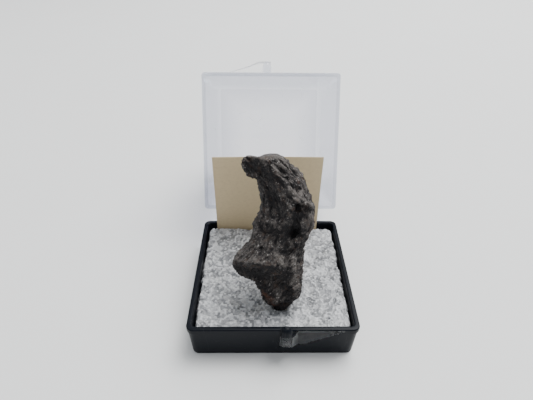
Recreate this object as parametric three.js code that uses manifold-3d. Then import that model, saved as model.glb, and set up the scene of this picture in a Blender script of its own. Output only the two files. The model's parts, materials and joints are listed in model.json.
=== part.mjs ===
// An iron meteorite on its foot in the foam bed of a small square specimen box, whose clear lid stands open.
// Millimetres, +Z up. The origin is the middle of the tray's underside and the front faces -Y.

import * as THREE from 'three';
import { mergeVertices } from 'three/addons/utils/BufferGeometryUtils.js';
import Module from 'manifold-3d';

const wasm = await Module();
wasm.setup();

// Tray: the side and height of its outside, how far each wall leans in at the bottom, and its walls
const BOX_SIDE = 54;
const TRAY_HEIGHT = 13;
const TRAY_DRAFT = 0.65;
const TRAY_WALL = 1.6;
const TRAY_FLOOR = 1.6;
const CAVITY_DRAFT = 0.8;
const CORNER_RADIUS = 2.2;
const RIM_BAND_HEIGHT = 1.8;
const RIM_BAND_STEP = 0.2;
const RIM_EDGE = 0.15;
const BOTTOM_EDGE = 0.3;
const CAVITY_CORNER = 1.2;
const CAVITY_FILLET = 0.6;

// Lid: its height above the rim, how far its front and rear walls and its side walls lean in at the top, its
// wall, its rounded edges and corners, and how far it stands open
const LID_HEIGHT = 47.9;
const LID_DRAFT = 2.0;
const LID_SIDE_DRAFT = 1.5;
const LID_WALL = 1.4;
const LID_EDGE = 0.5;
const LID_CORNER = 1.2;
const LID_HOLLOW_CORNER = 0.9;
const LID_FILLET = 0.4;
const LID_REST_GAP = 0.1;
const LID_OPEN_DEGREES = 113.75;

// Hinge: the axis behind the rear wall and above the rim, the two places along it, and its pieces
const HINGE_BEHIND = 2.58;
const HINGE_ABOVE = 1.38;
const HINGE_SPREAD = 12.5;
const EYE_RADIUS = 1.9;
const PIN_RADIUS = 0.8;
const RUNNING_GAP = 0.35;
const KNUCKLE_WIDTH = 4;
const EAR_THICKNESS = 1.4;
const EAR_ROOT_BELOW_RIM = { low: 4.6, high: 0.9 };
const EAR_NECK_BELOW_RIM = 0.2;
const ARM_ABOUT_AXIS = { below: 0.8, above: 1.6 };

// Thumb nubs, side by side on the two fronts when the box is closed: each stands a little off the wall that
// it passes when the lid shuts, on a root that joins it to its own wall
const NUB_WIDTH = 3.3;
const NUB_OFF_WALL = 0.4;
const NUB_ROOT_DEPTH = 1.0;
const NUB_ROOT_HALF = 0.3 * NUB_WIDTH;
const NUB_FLATNESS = 0.35;
const TRAY_NUB_X = 4.0;
const TRAY_NUB_REACH = 2.4;
const TRAY_NUB_BOTTOM = 6.2;
const TRAY_NUB_ABOVE_RIM = 2.6;
const LID_NUB_X = -1.7;
const LID_NUB_REACH = 3.8;
const LID_NUB_BELOW_RIM = 2.4;
const LID_NUB_LENGTH = 9;
// The tongue of a nub from its thin end: [part of the length, part of the width, part of the reach]
const NUB_TAPER = [[0, 0.45, 0.3], [0.07, 0.65, 0.38], [0.22, 0.88, 0.58], [0.42, 1, 0.82], [0.66, 1, 1]];

// Foam bed: its levels, how far it stays clear of the side walls, its rear edge in front of the card, how much
// its top heaves and rises to the rear, and the dimple that the meteorite's foot presses in it
const FOAM_BOTTOM = 1.65;
const FOAM_TOP = 10.9;
const FOAM_SIDE_GAP = 0.3;
const FOAM_REAR = 23.7;
const FOAM_SQUARENESS = 22;
const FOAM_SWELL = 0.3;
const FOAM_RISE = { height: 1.0, from: 2, to: 20 };
const DIMPLE = { centre: [2.1, -15.1, 11.3], radii: [5.2, 4.8, 2.7] };

// Card: standing on edge behind the foam, leaning a little forward
const CARD_WIDTH = 40.6;
const CARD_THICKNESS = 0.4;
const CARD_TOP = 45.0;
const CARD_BOTTOM = 6;
const CARD_X = -1.4;
const CARD_Y_AT_RIM = 24.35;
const CARD_LEAN_DEGREES = 1.5;
const CARD_TURN_DEGREES = 0.4;

// Clear film: its thickness and how far it stays off the wall it is stuck to. It bulges over the nubs: the bulge
// is a list of [x, distance], and on the tray it fades in by a list of [height, part].
const FILM_THICKNESS = 0.25;
const FILM_OFF_WALL = 0.12;
const TRAY_FILM = {
  from: 2.0,
  to: 22.0,
  lowerEdge: [[2.0, 7.4], [5.6, 6.6], [8.6, 6.1], [15.3, 8.9], [22.0, 12.2]],
  upperEdge: TRAY_HEIGHT - 0.3,
  bulge: [[2.0, 1.8], [3.0, 2.5], [4.6, 2.6], [5.8, 2.2], [9.2, -1.5], [22.0, -1.5]],
  fadeIn: [[5.5, 0.45], [9.0, 0.82], [11.5, 1], [13.0, 1]],
};
const LID_FILM = {
  from: -16,
  to: -0.2,
  lowerEdge: TRAY_HEIGHT + 0.3,
  upperEdge: [
    [-16, TRAY_HEIGHT + 1.6], [-9, TRAY_HEIGHT + 3.6], [-3.4, TRAY_HEIGHT + 6.0], [-0.2, TRAY_HEIGHT + 6.4],
  ],
  bulge: [[-16, FILM_OFF_WALL], [-9.5, 2.0], [-3.8, LID_NUB_REACH + 0.15], [-0.2, LID_NUB_REACH + 0.15]],
};

// Meteorite: where its foot stands and how far it leans back
const FOOT = [2.33, -15.52, 11.0];
const LEAN_DEGREES = 24;

// Its left and right edges, each a list of [height up the lean, x], as seen square to the lean
const LEFT_EDGE = [
  [-1.6, -0.4], [-1.4, -1.6], [-0.1, -2.2], [1.7, -2.8], [2.2, -4.7], [3.6, -5.8], [5.6, -6.4], [7.6, -7.5],
  [9.3, -8.4], [10.5, -11.4], [12.3, -14.0], [14.9, -15.5], [16.7, -14.8], [19.0, -13.4], [21.6, -10.4],
  [23.3, -9.2], [29.3, -8.1], [31.6, -6.8], [34.2, -6.0], [38.6, -6.8], [42.0, -7.6], [42.9, -8.9],
  [43.3, -10.4], [44.3, -10.9], [46.3, -11.9], [47.8, -11.9], [49.2, -11.0], [49.55, -10.4], [49.7, -4.0],
];
const RIGHT_EDGE = [
  [-1.6, -0.4], [-1.3, 1.0], [0.3, 3.4], [2.7, 4.8], [6.0, 6.5], [9.0, 7.0], [17.5, 7.5], [20.6, 7.2],
  [24.4, 8.3], [26.5, 9.0], [28.8, 10.0], [32.0, 10.5], [35.6, 9.6], [38.9, 8.5], [42.5, 7.1], [45.1, 5.2],
  [46.8, 3.1], [48.6, 0.4], [49.4, -1.0], [49.65, -2.4], [49.7, -4.0],
];

// The most that it stands out near its two ends: a list of [height up the lean, depth]
const TIP_DEPTH = [
  [-1.6, 0], [-1.2, 1.6], [0.5, 3.2], [3.0, 5.0], [6.0, 14], [46.5, 14], [48.8, 4.2], [49.5, 1.8], [49.7, 0],
];

// The flat faces of its front and back. Each stands out by a depth at the place [x, height up the lean], and
// further by its slope for each millimetre to the right and up.
const HORN = [
  { name: 'left face', depth: 7.0, at: [1.4, 41.5], slope: [0.42, 0] },
  { name: 'crown', depth: 7.0, at: [1.4, 41.5], slope: [-0.22, -0.5] },
  { name: 'right band', depth: 7.0, at: [1.4, 41.5], slope: [-0.5, -0.35] },
];
const LEDGE = [
  { name: 'pale facet', depth: 8.4, at: [5.2, 35.8], slope: [-0.25, -0.58] },
  { name: 'drop under the facet', depth: 8.4, at: [5.2, 35.8], slope: [0.95, 2.4] },
  { name: 'left side of the facet', depth: 8.4, at: [3.6, 37.0], slope: [1.4, 0.5] },
];
const HEEL = [
  { name: 'heel top', depth: 10.0, at: [-7.0, 17.6], slope: [-0.08, -0.72] },
  { name: 'heel underside', depth: 10.0, at: [-7.0, 17.6], slope: [0.07, 0.8] },
  { name: 'right flank', depth: 9.4, at: [2.6, 15.0], slope: [-0.75, 0.05] },
  { name: 'left flank', depth: 9.6, at: [-9.0, 17.6], slope: [0.45, 0] },
];
const FOOT_FRONT = [
  { name: 'front of the foot', depth: 3.2, at: [0, 2.0], slope: [0, 0.34] },
  { name: 'shoulder of the foot', depth: 5.9, at: [0, 10.0], slope: [0, -0.5] },
];
const BACK = [
  { name: 'back plate', depth: 6.6, at: [0, 27.0], slope: [0.1, 0.02] },
  { name: 'back, upper slope', depth: 6.2, at: [0, 40.0], slope: [-0.2, -0.45] },
  { name: 'back, lower slope', depth: 6.2, at: [0, 14.0], slope: [0.15, 0.36] },
  { name: 'back, right slope', depth: 7.2, at: [4.0, 26.0], slope: [-0.6, -0.1] },
  { name: 'back, left slope', depth: 6.8, at: [-6.0, 24.0], slope: [0.5, 0.12] },
];

// How wide the rounding between two faces is, and how square the sections are, where 2 is an oval
const CREASE = 0.7;
const SECTION_POWER = 2.7;

// Its large lumps (positive height) and hollows (negative), each along a stretch from one place to another.
// A place is [x, depth to the front, height up the lean].
const RELIEF = [
  { name: 'hollow in the beak', from: [-9.2, 3, 46.2], to: [-5.5, 5, 44], radius: 1.5, height: -0.7 },
  { name: 'dip behind the beak', from: [-7.6, 2, 49.9], to: [-6.8, -3, 49.5], radius: 1.0, height: -0.6 },
  { name: 'bump of the crown', from: [-3.4, 2, 50.0], to: [-1.8, -1, 49.8], radius: 1.5, height: 0.7 },
  { name: 'first cut of the crown', from: [-2.2, 6, 46.4], to: [1.0, 5.5, 45.0], radius: 0.5, height: -0.7 },
  { name: 'second cut', from: [0.2, 6.5, 44.4], to: [3.6, 5.5, 42.8], radius: 0.45, height: -0.7 },
  { name: 'third cut', from: [2.6, 6.8, 41.6], to: [5.6, 5.5, 40.0], radius: 0.55, height: -0.8 },
  { name: 'hollow under the beak', from: [-7.0, 4, 42.5], to: [-5.5, 6, 40], radius: 1.7, height: -0.8 },
  { name: 'groove, upper end', from: [5.5, 6.8, 34.6], to: [4.7, 7, 31.0], radius: 1.1, height: -2.8 },
  { name: 'groove, middle', from: [4.7, 7, 31.0], to: [3.4, 7.5, 26], radius: 1.2, height: -2.4 },
  { name: 'groove, lower end', from: [3.4, 7.5, 26], to: [2.3, 8.5, 20.8], radius: 1.0, height: -1.6 },
  { name: 'lip left of the groove', from: [3.0, 7.2, 34.3], to: [1.8, 7.2, 29.5], radius: 1.0, height: 0.9 },
  { name: 'left face hollow', from: [-2.6, 6, 38], to: [-2.4, 6, 33], radius: 1.9, height: -0.7 },
  { name: 'body ridge', from: [-7.5, 4, 30.5], to: [-3, 6, 29], radius: 1.3, height: 0.6 },
  { name: 'body hollow', from: [-7, 4.5, 26.8], to: [-2, 6, 25.4], radius: 1.5, height: -0.6 },
  { name: 'heel top hollow', from: [-9.5, 7.5, 21], to: [-5.5, 8.5, 20], radius: 1.4, height: -0.5 },
  { name: 'heel notch', from: [-4.0, 9, 17.5], to: [-2.8, 9.5, 15.5], radius: 0.9, height: -0.8 },
  { name: 'second crest', from: [-2.2, 9.2, 16.6], to: [1.5, 9, 16.6], radius: 1.0, height: 0.6 },
  { name: 'crest of the heel', from: [-14.0, 4, 16.8], to: [-8.5, 9, 18.0], radius: 0.7, height: 0.8 },
  { name: 'hollow under that crest', from: [-13.0, 5, 14.2], to: [-6, 9, 14.8], radius: 1.2, height: -1.1 },
  { name: 'under the heel', from: [-9, 6.5, 12.2], to: [-4, 7, 10.5], radius: 1.8, height: -0.9 },
  { name: 'hollow above the foot', from: [1.2, 6, 9.5], to: [2.4, 5, 6], radius: 1.9, height: -1.1 },
  { name: 'right flank edge', from: [3.2, 8.2, 19.5], to: [3.6, 7.5, 9], radius: 0.9, height: 0.9 },
  { name: 'flank groove', from: [2.1, 9, 20.5], to: [2.0, 8.5, 11.5], radius: 0.8, height: -1.3 },
  { name: 'right edge notch', from: [8.6, 2, 24.5], to: [8, 3, 21.5], radius: 1.8, height: -0.6 },
  { name: 'right rusty bump', from: [8.4, 4, 29], to: [7.4, 5, 27], radius: 1.5, height: 0.8 },
  { name: 'bank right of the groove', from: [8.4, 6, 34.6], to: [8.6, 5.5, 29.5], radius: 1.3, height: 0.9 },
  { name: 'back hollow, upper', from: [-2, -7, 38], to: [3, -7, 33], radius: 3.0, height: -1.5 },
  { name: 'back hollow, lower', from: [-7, -6, 18], to: [2, -7, 20], radius: 2.8, height: -1.4 },
  { name: 'back ridge', from: [5, -6, 30], to: [-4, -7, 26], radius: 1.6, height: 1.1 },
  { name: 'back foot hollow', from: [0, -5, 8], to: [2, -4, 5], radius: 2.2, height: -0.9 },
];

// Its smaller lumpiness: wavelength and height of each layer of waves
const LUMPS = [
  { wavelength: 6.5, height: 0.25 },
  { wavelength: 3.1, height: 0.15 },
];

const STONE_AROUND = 54;
const STONE_RINGS = 56;
const RIM_Z = TRAY_HEIGHT;
const HALF = BOX_SIDE / 2;
const HINGE = new THREE.Vector3(0, HALF + HINGE_BEHIND, RIM_Z + HINGE_ABOVE);
const OVERLAP = 0.4;

const plastic = {
  black: new THREE.MeshStandardMaterial({ color: 0x22262c, roughness: 0.35, metalness: 0 }),
  clear: new THREE.MeshStandardMaterial({ color: 0xf2f5f6, roughness: 0.08, transparent: true, opacity: 0.25 }),
};
const iron = new THREE.MeshStandardMaterial({ color: 0x3d3835, roughness: 0.55, metalness: 0.35 });
const foam = new THREE.MeshStandardMaterial({ color: 0xe4e8ea, roughness: 0.6, metalness: 0 });
const paper = new THREE.MeshStandardMaterial({ color: 0xa69a82, roughness: 0.9, metalness: 0 });
const film = new THREE.MeshStandardMaterial({
  color: 0xdfe4e6, roughness: 0.2, transparent: true, opacity: 0.3,
});

// A closed skin over a stack of rings that all have the same number of points, with a flat fan on each end.
// The rings run anticlockwise as seen from the last one.
function skin(rings) {
  const around = rings[0].length;
  const positions = [];
  const index = [];
  for (const ring of rings) for (const p of ring) positions.push(p.x, p.y, p.z);
  for (let i = 0; i + 1 < rings.length; i += 1) {
    for (let j = 0; j < around; j += 1) {
      const a = i * around + j;
      const b = i * around + ((j + 1) % around);
      index.push(a, b, b + around, a, b + around, a + around);
    }
  }
  const last = (rings.length - 1) * around;
  for (const [start, ring, flip] of [[0, rings[0], true], [last, rings.at(-1), false]]) {
    const middle = ring.reduce((sum, p) => sum.add(p), new THREE.Vector3()).divideScalar(around);
    const centre = positions.length / 3;
    positions.push(middle.x, middle.y, middle.z);
    for (let j = 0; j < around; j += 1) {
      const a = start + j;
      const b = start + ((j + 1) % around);
      index.push(centre, flip ? b : a, flip ? a : b);
    }
  }
  const geometry = new THREE.BufferGeometry();
  geometry.setAttribute('position', new THREE.Float32BufferAttribute(positions, 3));
  geometry.setIndex(index);
  return geometry;
}

// A three.js geometry as a solid that can be joined and cut
function solid(geometry) {
  const bare = geometry.clone();
  bare.deleteAttribute('normal');
  bare.deleteAttribute('uv');
  const merged = mergeVertices(bare, 1e-4);
  return new wasm.Manifold(new wasm.Mesh({
    numProp: 3,
    vertProperties: new Float32Array(merged.attributes.position.array),
    triVerts: new Uint32Array(merged.index.array),
  }));
}

// A solid back as a three.js geometry
function geometryOf(body) {
  const { vertProperties, triVerts, numProp } = body.getMesh();
  const geometry = new THREE.BufferGeometry();
  const positions = new Float32Array((vertProperties.length / numProp) * 3);
  for (let i = 0; i < positions.length / 3; i += 1) {
    for (let k = 0; k < 3; k += 1) positions[3 * i + k] = vertProperties[numProp * i + k];
  }
  geometry.setAttribute('position', new THREE.BufferAttribute(positions, 3));
  geometry.setIndex(new THREE.BufferAttribute(new Uint32Array(triVerts), 1));
  return geometry;
}

// One level of a square body with round corners, anticlockwise from above
function squareRing({ z, half, halfY = half, radius, y = 0 }, steps = 4) {
  const ring = [];
  const quarters = [[1, 1], [-1, 1], [-1, -1], [1, -1]];
  quarters.forEach(([sx, sy], quarter) => {
    for (let i = 0; i <= steps; i += 1) {
      const angle = (quarter + i / steps) * (Math.PI / 2);
      const px = sx * (half - radius) + radius * Math.cos(angle);
      const py = sy * (halfY - radius) + radius * Math.sin(angle);
      ring.push(new THREE.Vector3(px, y + py, z));
    }
  });
  return ring;
}

function squareBody(levels) {
  return solid(skin(levels.map((level) => squareRing(level))));
}

// The height of a smooth curve through [place, value] pairs, flat at each of its own highs and lows
function follow(pairs, at) {
  let i = pairs.findIndex(([place]) => place >= at);
  if (i < 0) i = pairs.length - 1;
  i = Math.max(i, 1);
  const slope = (k) => (pairs[k + 1][1] - pairs[k][1]) / (pairs[k + 1][0] - pairs[k][0]);
  const tangent = (k) => {
    if (k === 0) return slope(0);
    if (k === pairs.length - 1) return slope(k - 1);
    const [before, after] = [slope(k - 1), slope(k)];
    return before * after > 0 ? (2 * before * after) / (before + after) : 0;
  };
  const [x0, y0] = pairs[i - 1];
  const [x1, y1] = pairs[i];
  const span = x1 - x0;
  const t = Math.min(Math.max((at - x0) / span, 0), 1);
  const rise = y1 - y0;
  const [m0, m1] = [tangent(i - 1) * span, tangent(i) * span];
  return y0 + m0 * t + (3 * rise - 2 * m0 - m1) * t ** 2 + (m0 + m1 - 2 * rise) * t ** 3;
}

// Heights up the meteorite for its rings, spaced evenly along whichever edge runs furthest
function ringHeights(count) {
  const samples = 600;
  const low = LEFT_EDGE[0][0];
  const high = LEFT_EDGE.at(-1)[0];
  const length = [0];
  const height = (k) => low + ((high - low) * k) / samples;
  for (let k = 1; k <= samples; k += 1) {
    const steps = [LEFT_EDGE, RIGHT_EDGE]
      .map((edge) => Math.abs(follow(edge, height(k)) - follow(edge, height(k - 1))));
    length.push(length[k - 1] + Math.hypot(Math.max(...steps), height(1) - height(0)));
  }
  const heights = [];
  let k = 0;
  for (let ring = 1; ring < count; ring += 1) {
    const target = (length[samples] * ring) / count;
    while (length[k + 1] < target) k += 1;
    heights.push(height(k + (target - length[k]) / (length[k + 1] - length[k])));
  }
  return heights;
}

// The least of some values, where the step from one to the next is rounded over a width
function easedLeast(values, width) {
  return values.reduce((a, b) => Math.min(a, b) - Math.max(width - Math.abs(a - b), 0) ** 2 / (4 * width));
}

// How far each of some faces stands out at a place
function depthsOf(faces, x, up) {
  return faces.map(({ depth, at, slope }) => depth + slope[0] * (x - at[0]) + slope[1] * (up - at[1]));
}

// How far the front stands out: the most of the horn, the heel, the foot and the ledge over the groove
function frontAt(x, up) {
  const [horn, ledge, heel, foot] = [HORN, LEDGE, HEEL, FOOT_FRONT]
    .map((faces) => easedLeast(depthsOf(faces, x, up), CREASE));
  const whole = Math.max(-easedLeast([-horn, -heel, -foot], 2 * CREASE), ledge);
  return Math.max(easedLeast([whole, follow(TIP_DEPTH, up)], CREASE), 0);
}

function backAt(x, up) {
  return Math.max(easedLeast([...depthsOf(BACK, x, up), follow(TIP_DEPTH, up)], 1.5 * CREASE), 0);
}

// One level of the meteorite: a rounded four-cornered oval between its edges and depths
function stoneRing(height) {
  const left = follow(LEFT_EDGE, height);
  const right = follow(RIGHT_EDGE, height);
  const ring = [];
  const bend = (value) => Math.sign(value) * Math.abs(value) ** (2 / SECTION_POWER);
  for (let j = 0; j < STONE_AROUND; j += 1) {
    const angle = (2 * Math.PI * j) / STONE_AROUND;
    const x = (left + right) / 2 + ((right - left) / 2) * bend(Math.cos(angle));
    const across = bend(Math.sin(angle));
    ring.push(new THREE.Vector3(x, across * (across > 0 ? backAt(x, height) : frontAt(x, height)), height));
  }
  return ring;
}

// How far the relief pushes the surface out at a point
function reliefAt(point) {
  let sum = 0;
  for (const { from, to, radius, height } of RELIEF) {
    const start = new THREE.Vector3(from[0], -from[1], from[2]);
    const end = new THREE.Vector3(to[0], -to[1], to[2]);
    const nearest = new THREE.Line3(start, end).closestPointToPoint(point, true, new THREE.Vector3());
    sum += height * Math.exp(-nearest.distanceToSquared(point) / (2 * radius ** 2));
  }
  for (const { wavelength, height } of LUMPS) {
    const k = (2 * Math.PI) / wavelength;
    const { x, y, z } = point;
    const warp = Math.sin(0.43 * k * (x + z)) + Math.sin(0.37 * k * (y - z) + 1.3);
    const waves = Math.sin(k * (0.81 * x + 0.52 * z) + warp) + Math.sin(k * (0.74 * y - 0.61 * x) + 2.1 * warp)
      + Math.sin(k * (0.88 * z - 0.45 * y) + 4.2 - warp);
    sum += (height * waves) / 3;
  }
  return sum;
}

function meteoriteGeometry() {
  const rings = ringHeights(STONE_RINGS).map(stoneRing);
  const geometry = skin(rings);
  geometry.computeVertexNormals();
  const { position, normal } = geometry.attributes;
  const point = new THREE.Vector3();
  const outward = new THREE.Vector3();
  for (let i = 0; i < position.count; i += 1) {
    point.fromBufferAttribute(position, i);
    outward.fromBufferAttribute(normal, i);
    point.addScaledVector(outward, reliefAt(point));
    position.setXYZ(i, point.x, point.y, point.z);
  }
  geometry.deleteAttribute('normal');
  return geometry;
}

// A tongue that stands out towards -Y from y = 0: it thins towards one end and is round at the other
function nubSolid({ reach, length, roundUp }) {
  const halfWidth = NUB_WIDTH / 2;
  const roundSteps = 5;
  const levels = NUB_TAPER.map(([up, width, out]) => ({ up: up * length, width, out }));
  for (let i = 0; i <= roundSteps; i += 1) {
    const angle = (i / roundSteps) * (Math.PI / 2);
    const width = Math.max(Math.cos(angle), 0.2);
    levels.push({ up: length - halfWidth * (1 - Math.sin(angle)), width, out: 0.45 + 0.55 * Math.cos(angle) });
  }
  const placed = roundUp ? levels : levels.map((level) => ({ ...level, up: length - level.up })).reverse();
  const sides = 8;
  const rings = placed.map(({ up, width, out }) => {
    const ring = [];
    for (let j = 0; j <= sides; j += 1) {
      const angle = Math.PI * (1 + j / sides);
      const bulge = NUB_FLATNESS - (1 - NUB_FLATNESS) * Math.sin(angle);
      const y = NUB_OFF_WALL + (reach * out - NUB_OFF_WALL) * bulge;
      ring.push(new THREE.Vector3(halfWidth * width * Math.cos(angle), -y, up));
    }
    for (const side of [1, -1]) ring.push(new THREE.Vector3(side * halfWidth * width, -NUB_OFF_WALL, up));
    return ring;
  });
  return solid(skin(rings));
}

// A block between two corners
function block([x0, y0, z0], [x1, y1, z1]) {
  const geometry = new THREE.BoxGeometry(x1 - x0, y1 - y0, z1 - z0);
  geometry.translate((x0 + x1) / 2, (y0 + y1) / 2, (z0 + z1) / 2);
  return solid(geometry);
}

// A round bar along the hinge axis
function hingeBar(radius, x0, x1, sides = 14) {
  const geometry = new THREE.CylinderGeometry(radius, radius, x1 - x0, sides);
  geometry.rotateZ(Math.PI / 2);
  geometry.translate((x0 + x1) / 2, HINGE.y, HINGE.z);
  return solid(geometry);
}

// One ear of the tray: a tab from the rear wall to a round eye on the hinge axis
function earSolid(x0) {
  const outline = new THREE.Shape();
  const wall = HALF - OVERLAP;
  outline.moveTo(wall, RIM_Z - EAR_ROOT_BELOW_RIM.low);
  outline.lineTo(wall, RIM_Z - EAR_ROOT_BELOW_RIM.high);
  outline.lineTo(HINGE.y - EYE_RADIUS - 0.1, RIM_Z - EAR_NECK_BELOW_RIM);
  outline.lineTo(HINGE.y - EYE_RADIUS, HINGE.z);
  outline.absarc(HINGE.y, HINGE.z, EYE_RADIUS, Math.PI, -Math.PI / 3, true);
  outline.closePath();
  const extent = { depth: EAR_THICKNESS, bevelEnabled: false, curveSegments: 7 };
  const geometry = new THREE.ExtrudeGeometry(outline, extent);
  // The outline's x and y become the box's y and z, and its depth runs along x
  geometry.applyMatrix4(new THREE.Matrix4().makeBasis(
    new THREE.Vector3(0, 1, 0), new THREE.Vector3(0, 0, 1), new THREE.Vector3(1, 0, 0)));
  geometry.translate(x0, 0, 0);
  return solid(geometry);
}

// Half the tray's outside at a height, without the rim band
function trayHalf(z) {
  return HALF - RIM_BAND_STEP - TRAY_DRAFT * (1 - z / TRAY_HEIGHT);
}

function trayGeometry() {
  const edge = (angle) => ({
    z: BOTTOM_EDGE * (1 - Math.cos(angle)),
    half: trayHalf(0) - BOTTOM_EDGE * (1 - Math.sin(angle)),
    radius: CORNER_RADIUS - BOTTOM_EDGE * (1 - Math.sin(angle)),
  });
  const band = RIM_Z - RIM_BAND_HEIGHT;
  const outside = squareBody([
    ...[0, 0.5, 1].map((part) => edge(part * Math.PI / 2)),
    { z: band - RIM_BAND_STEP, half: trayHalf(band), radius: CORNER_RADIUS },
    { z: band, half: trayHalf(band) + RIM_BAND_STEP, radius: CORNER_RADIUS },
    { z: RIM_Z - RIM_EDGE, half: HALF, radius: CORNER_RADIUS },
    { z: RIM_Z, half: HALF - RIM_EDGE, radius: CORNER_RADIUS },
  ]);
  const mouth = HALF - TRAY_WALL;
  const cavity = squareBody([
    { z: TRAY_FLOOR, half: mouth - CAVITY_DRAFT - CAVITY_FILLET, radius: CAVITY_CORNER },
    { z: TRAY_FLOOR + CAVITY_FILLET, half: mouth - CAVITY_DRAFT, radius: CAVITY_CORNER },
    { z: RIM_Z - RIM_EDGE, half: mouth, radius: CAVITY_CORNER },
    { z: RIM_Z + 0.01, half: mouth + RIM_EDGE, radius: CAVITY_CORNER },
    { z: RIM_Z + 1, half: mouth + RIM_EDGE, radius: CAVITY_CORNER },
  ]);
  let body = outside.subtract(cavity);
  for (const side of [-1, 1]) {
    const middle = side * HINGE_SPREAD;
    const inner = KNUCKLE_WIDTH / 2 + RUNNING_GAP;
    body = body
      .add(earSolid(middle - inner - EAR_THICKNESS))
      .add(earSolid(middle + inner))
      .add(hingeBar(PIN_RADIUS, middle - inner - OVERLAP, middle + inner + OVERLAP));
  }
  const nubTop = RIM_Z + TRAY_NUB_ABOVE_RIM;
  const nub = nubSolid({ reach: TRAY_NUB_REACH, length: nubTop - TRAY_NUB_BOTTOM, roundUp: true })
    .translate([TRAY_NUB_X, -HALF, TRAY_NUB_BOTTOM]);
  const root = block(
    [TRAY_NUB_X - NUB_ROOT_HALF, -HALF - NUB_OFF_WALL - OVERLAP, TRAY_NUB_BOTTOM + 0.2],
    [TRAY_NUB_X + NUB_ROOT_HALF, -HALF + NUB_ROOT_DEPTH, RIM_Z - 0.2]);
  return geometryOf(body.add(nub).add(root));
}

// The lid as it lies when the box is closed
function lidGeometry() {
  const bottom = RIM_Z + LID_REST_GAP;
  const top = RIM_Z + LID_HEIGHT;
  const level = (z, inwards, radius) => {
    const up = Math.max(z - RIM_Z, 0) / LID_HEIGHT;
    return { z, half: HALF - LID_SIDE_DRAFT * up - inwards, halfY: HALF - LID_DRAFT * up - inwards, radius };
  };
  const edge = (angle) => {
    const inwards = LID_EDGE * (1 - Math.cos(angle));
    return level(top - LID_EDGE * (1 - Math.sin(angle)), inwards, LID_CORNER - 0.5 * inwards);
  };
  const outside = squareBody([
    level(bottom, 0, LID_CORNER),
    ...[0, 0.5, 1].map((part) => edge(part * Math.PI / 2)),
  ]);
  const ceiling = top - LID_WALL;
  const hollow = squareBody([
    level(bottom - 1, LID_WALL, LID_HOLLOW_CORNER),
    level(ceiling - LID_FILLET, LID_WALL, LID_HOLLOW_CORNER),
    level(ceiling, LID_WALL + LID_FILLET, LID_HOLLOW_CORNER),
  ]);
  let body = outside.subtract(hollow);
  for (const side of [-1, 1]) {
    const x0 = side * HINGE_SPREAD - KNUCKLE_WIDTH / 2;
    const x1 = x0 + KNUCKLE_WIDTH;
    const arm = block(
      [x0, HALF - OVERLAP, HINGE.z - ARM_ABOUT_AXIS.below],
      [x1, HINGE.y, HINGE.z + ARM_ABOUT_AXIS.above]);
    const eye = hingeBar(EYE_RADIUS, x0, x1).add(arm);
    body = body.add(eye.subtract(hingeBar(PIN_RADIUS + RUNNING_GAP, x0 - 1, x1 + 1)));
  }
  const nubBottom = RIM_Z - LID_NUB_BELOW_RIM;
  const nub = nubSolid({ reach: LID_NUB_REACH, length: LID_NUB_LENGTH, roundUp: false })
    .translate([LID_NUB_X, -HALF, nubBottom]);
  const root = block(
    [LID_NUB_X - NUB_ROOT_HALF, -HALF - NUB_OFF_WALL - OVERLAP, bottom + 0.2],
    [LID_NUB_X + NUB_ROOT_HALF, -HALF + NUB_ROOT_DEPTH, nubBottom + LID_NUB_LENGTH - 0.6]);
  return geometryOf(body.add(nub).add(root));
}

// One ring of the foam bed, drawn in by scale, with a slightly ragged edge
function foamRing(scale, z, points = 48) {
  const half = HALF - TRAY_WALL - FOAM_SIDE_GAP;
  const halfY = (half + FOAM_REAR) / 2;
  const middleY = FOAM_REAR - halfY;
  const ring = [];
  for (let j = 0; j < points; j += 1) {
    const angle = (2 * Math.PI * j) / points;
    const [c, s] = [Math.cos(angle), Math.sin(angle)];
    const corner = (Math.abs(c) ** FOAM_SQUARENESS + Math.abs(s) ** FOAM_SQUARENESS) ** (-1 / FOAM_SQUARENESS);
    const ragged = 1 - 0.008 * (1 + Math.sin(9 * angle + 1)) - 0.006 * (1 + Math.sin(17 * angle));
    const x = half * corner * c * scale * ragged;
    const y = halfY * corner * s * scale * ragged;
    const uneven = Math.sin(0.31 * x + 0.9) * Math.sin(0.27 * y) + 0.5 * Math.sin(0.55 * x - 0.48 * y);
    const rise = FOAM_RISE.height * THREE.MathUtils.smoothstep(middleY + y, FOAM_RISE.from, FOAM_RISE.to);
    const isTop = z > (FOAM_BOTTOM + FOAM_TOP) / 2;
    ring.push(new THREE.Vector3(x, middleY + y, z + (isTop ? FOAM_SWELL * uneven + rise : 0)));
  }
  return ring;
}

function foamGeometry() {
  const rings = [foamRing(0.95, FOAM_BOTTOM), foamRing(0.975, FOAM_BOTTOM + 0.8), foamRing(1, FOAM_TOP - 0.9)];
  rings.push(foamRing(0.985, FOAM_TOP - 0.25));
  for (const scale of [0.95, 0.8, 0.6, 0.4, 0.2]) rings.push(foamRing(scale, FOAM_TOP));
  const dimple = new THREE.SphereGeometry(1, 24, 14);
  dimple.scale(...DIMPLE.radii);
  dimple.translate(...DIMPLE.centre);
  return geometryOf(solid(skin(rings)).subtract(solid(dimple)));
}

// A thin film with its length along x: for each x, a strip between two heights, a distance out from y = 0
function filmGeometry({ from, to, steps, low, high, out }) {
  const rings = [];
  const rows = 3;
  for (let i = 0; i <= steps; i += 1) {
    const x = from + ((to - from) * i) / steps;
    const strip = [];
    for (let k = 0; k < 2 * rows; k += 1) {
      const outer = k >= rows;
      const up = outer ? 2 * rows - 1 - k : k;
      const z = low(x) + ((high(x) - low(x)) * up) / (rows - 1);
      strip.push(new THREE.Vector3(x, -(out(x, z) + (outer ? FILM_THICKNESS : 0)), z));
    }
    rings.push(strip);
  }
  return skin(rings);
}

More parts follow.
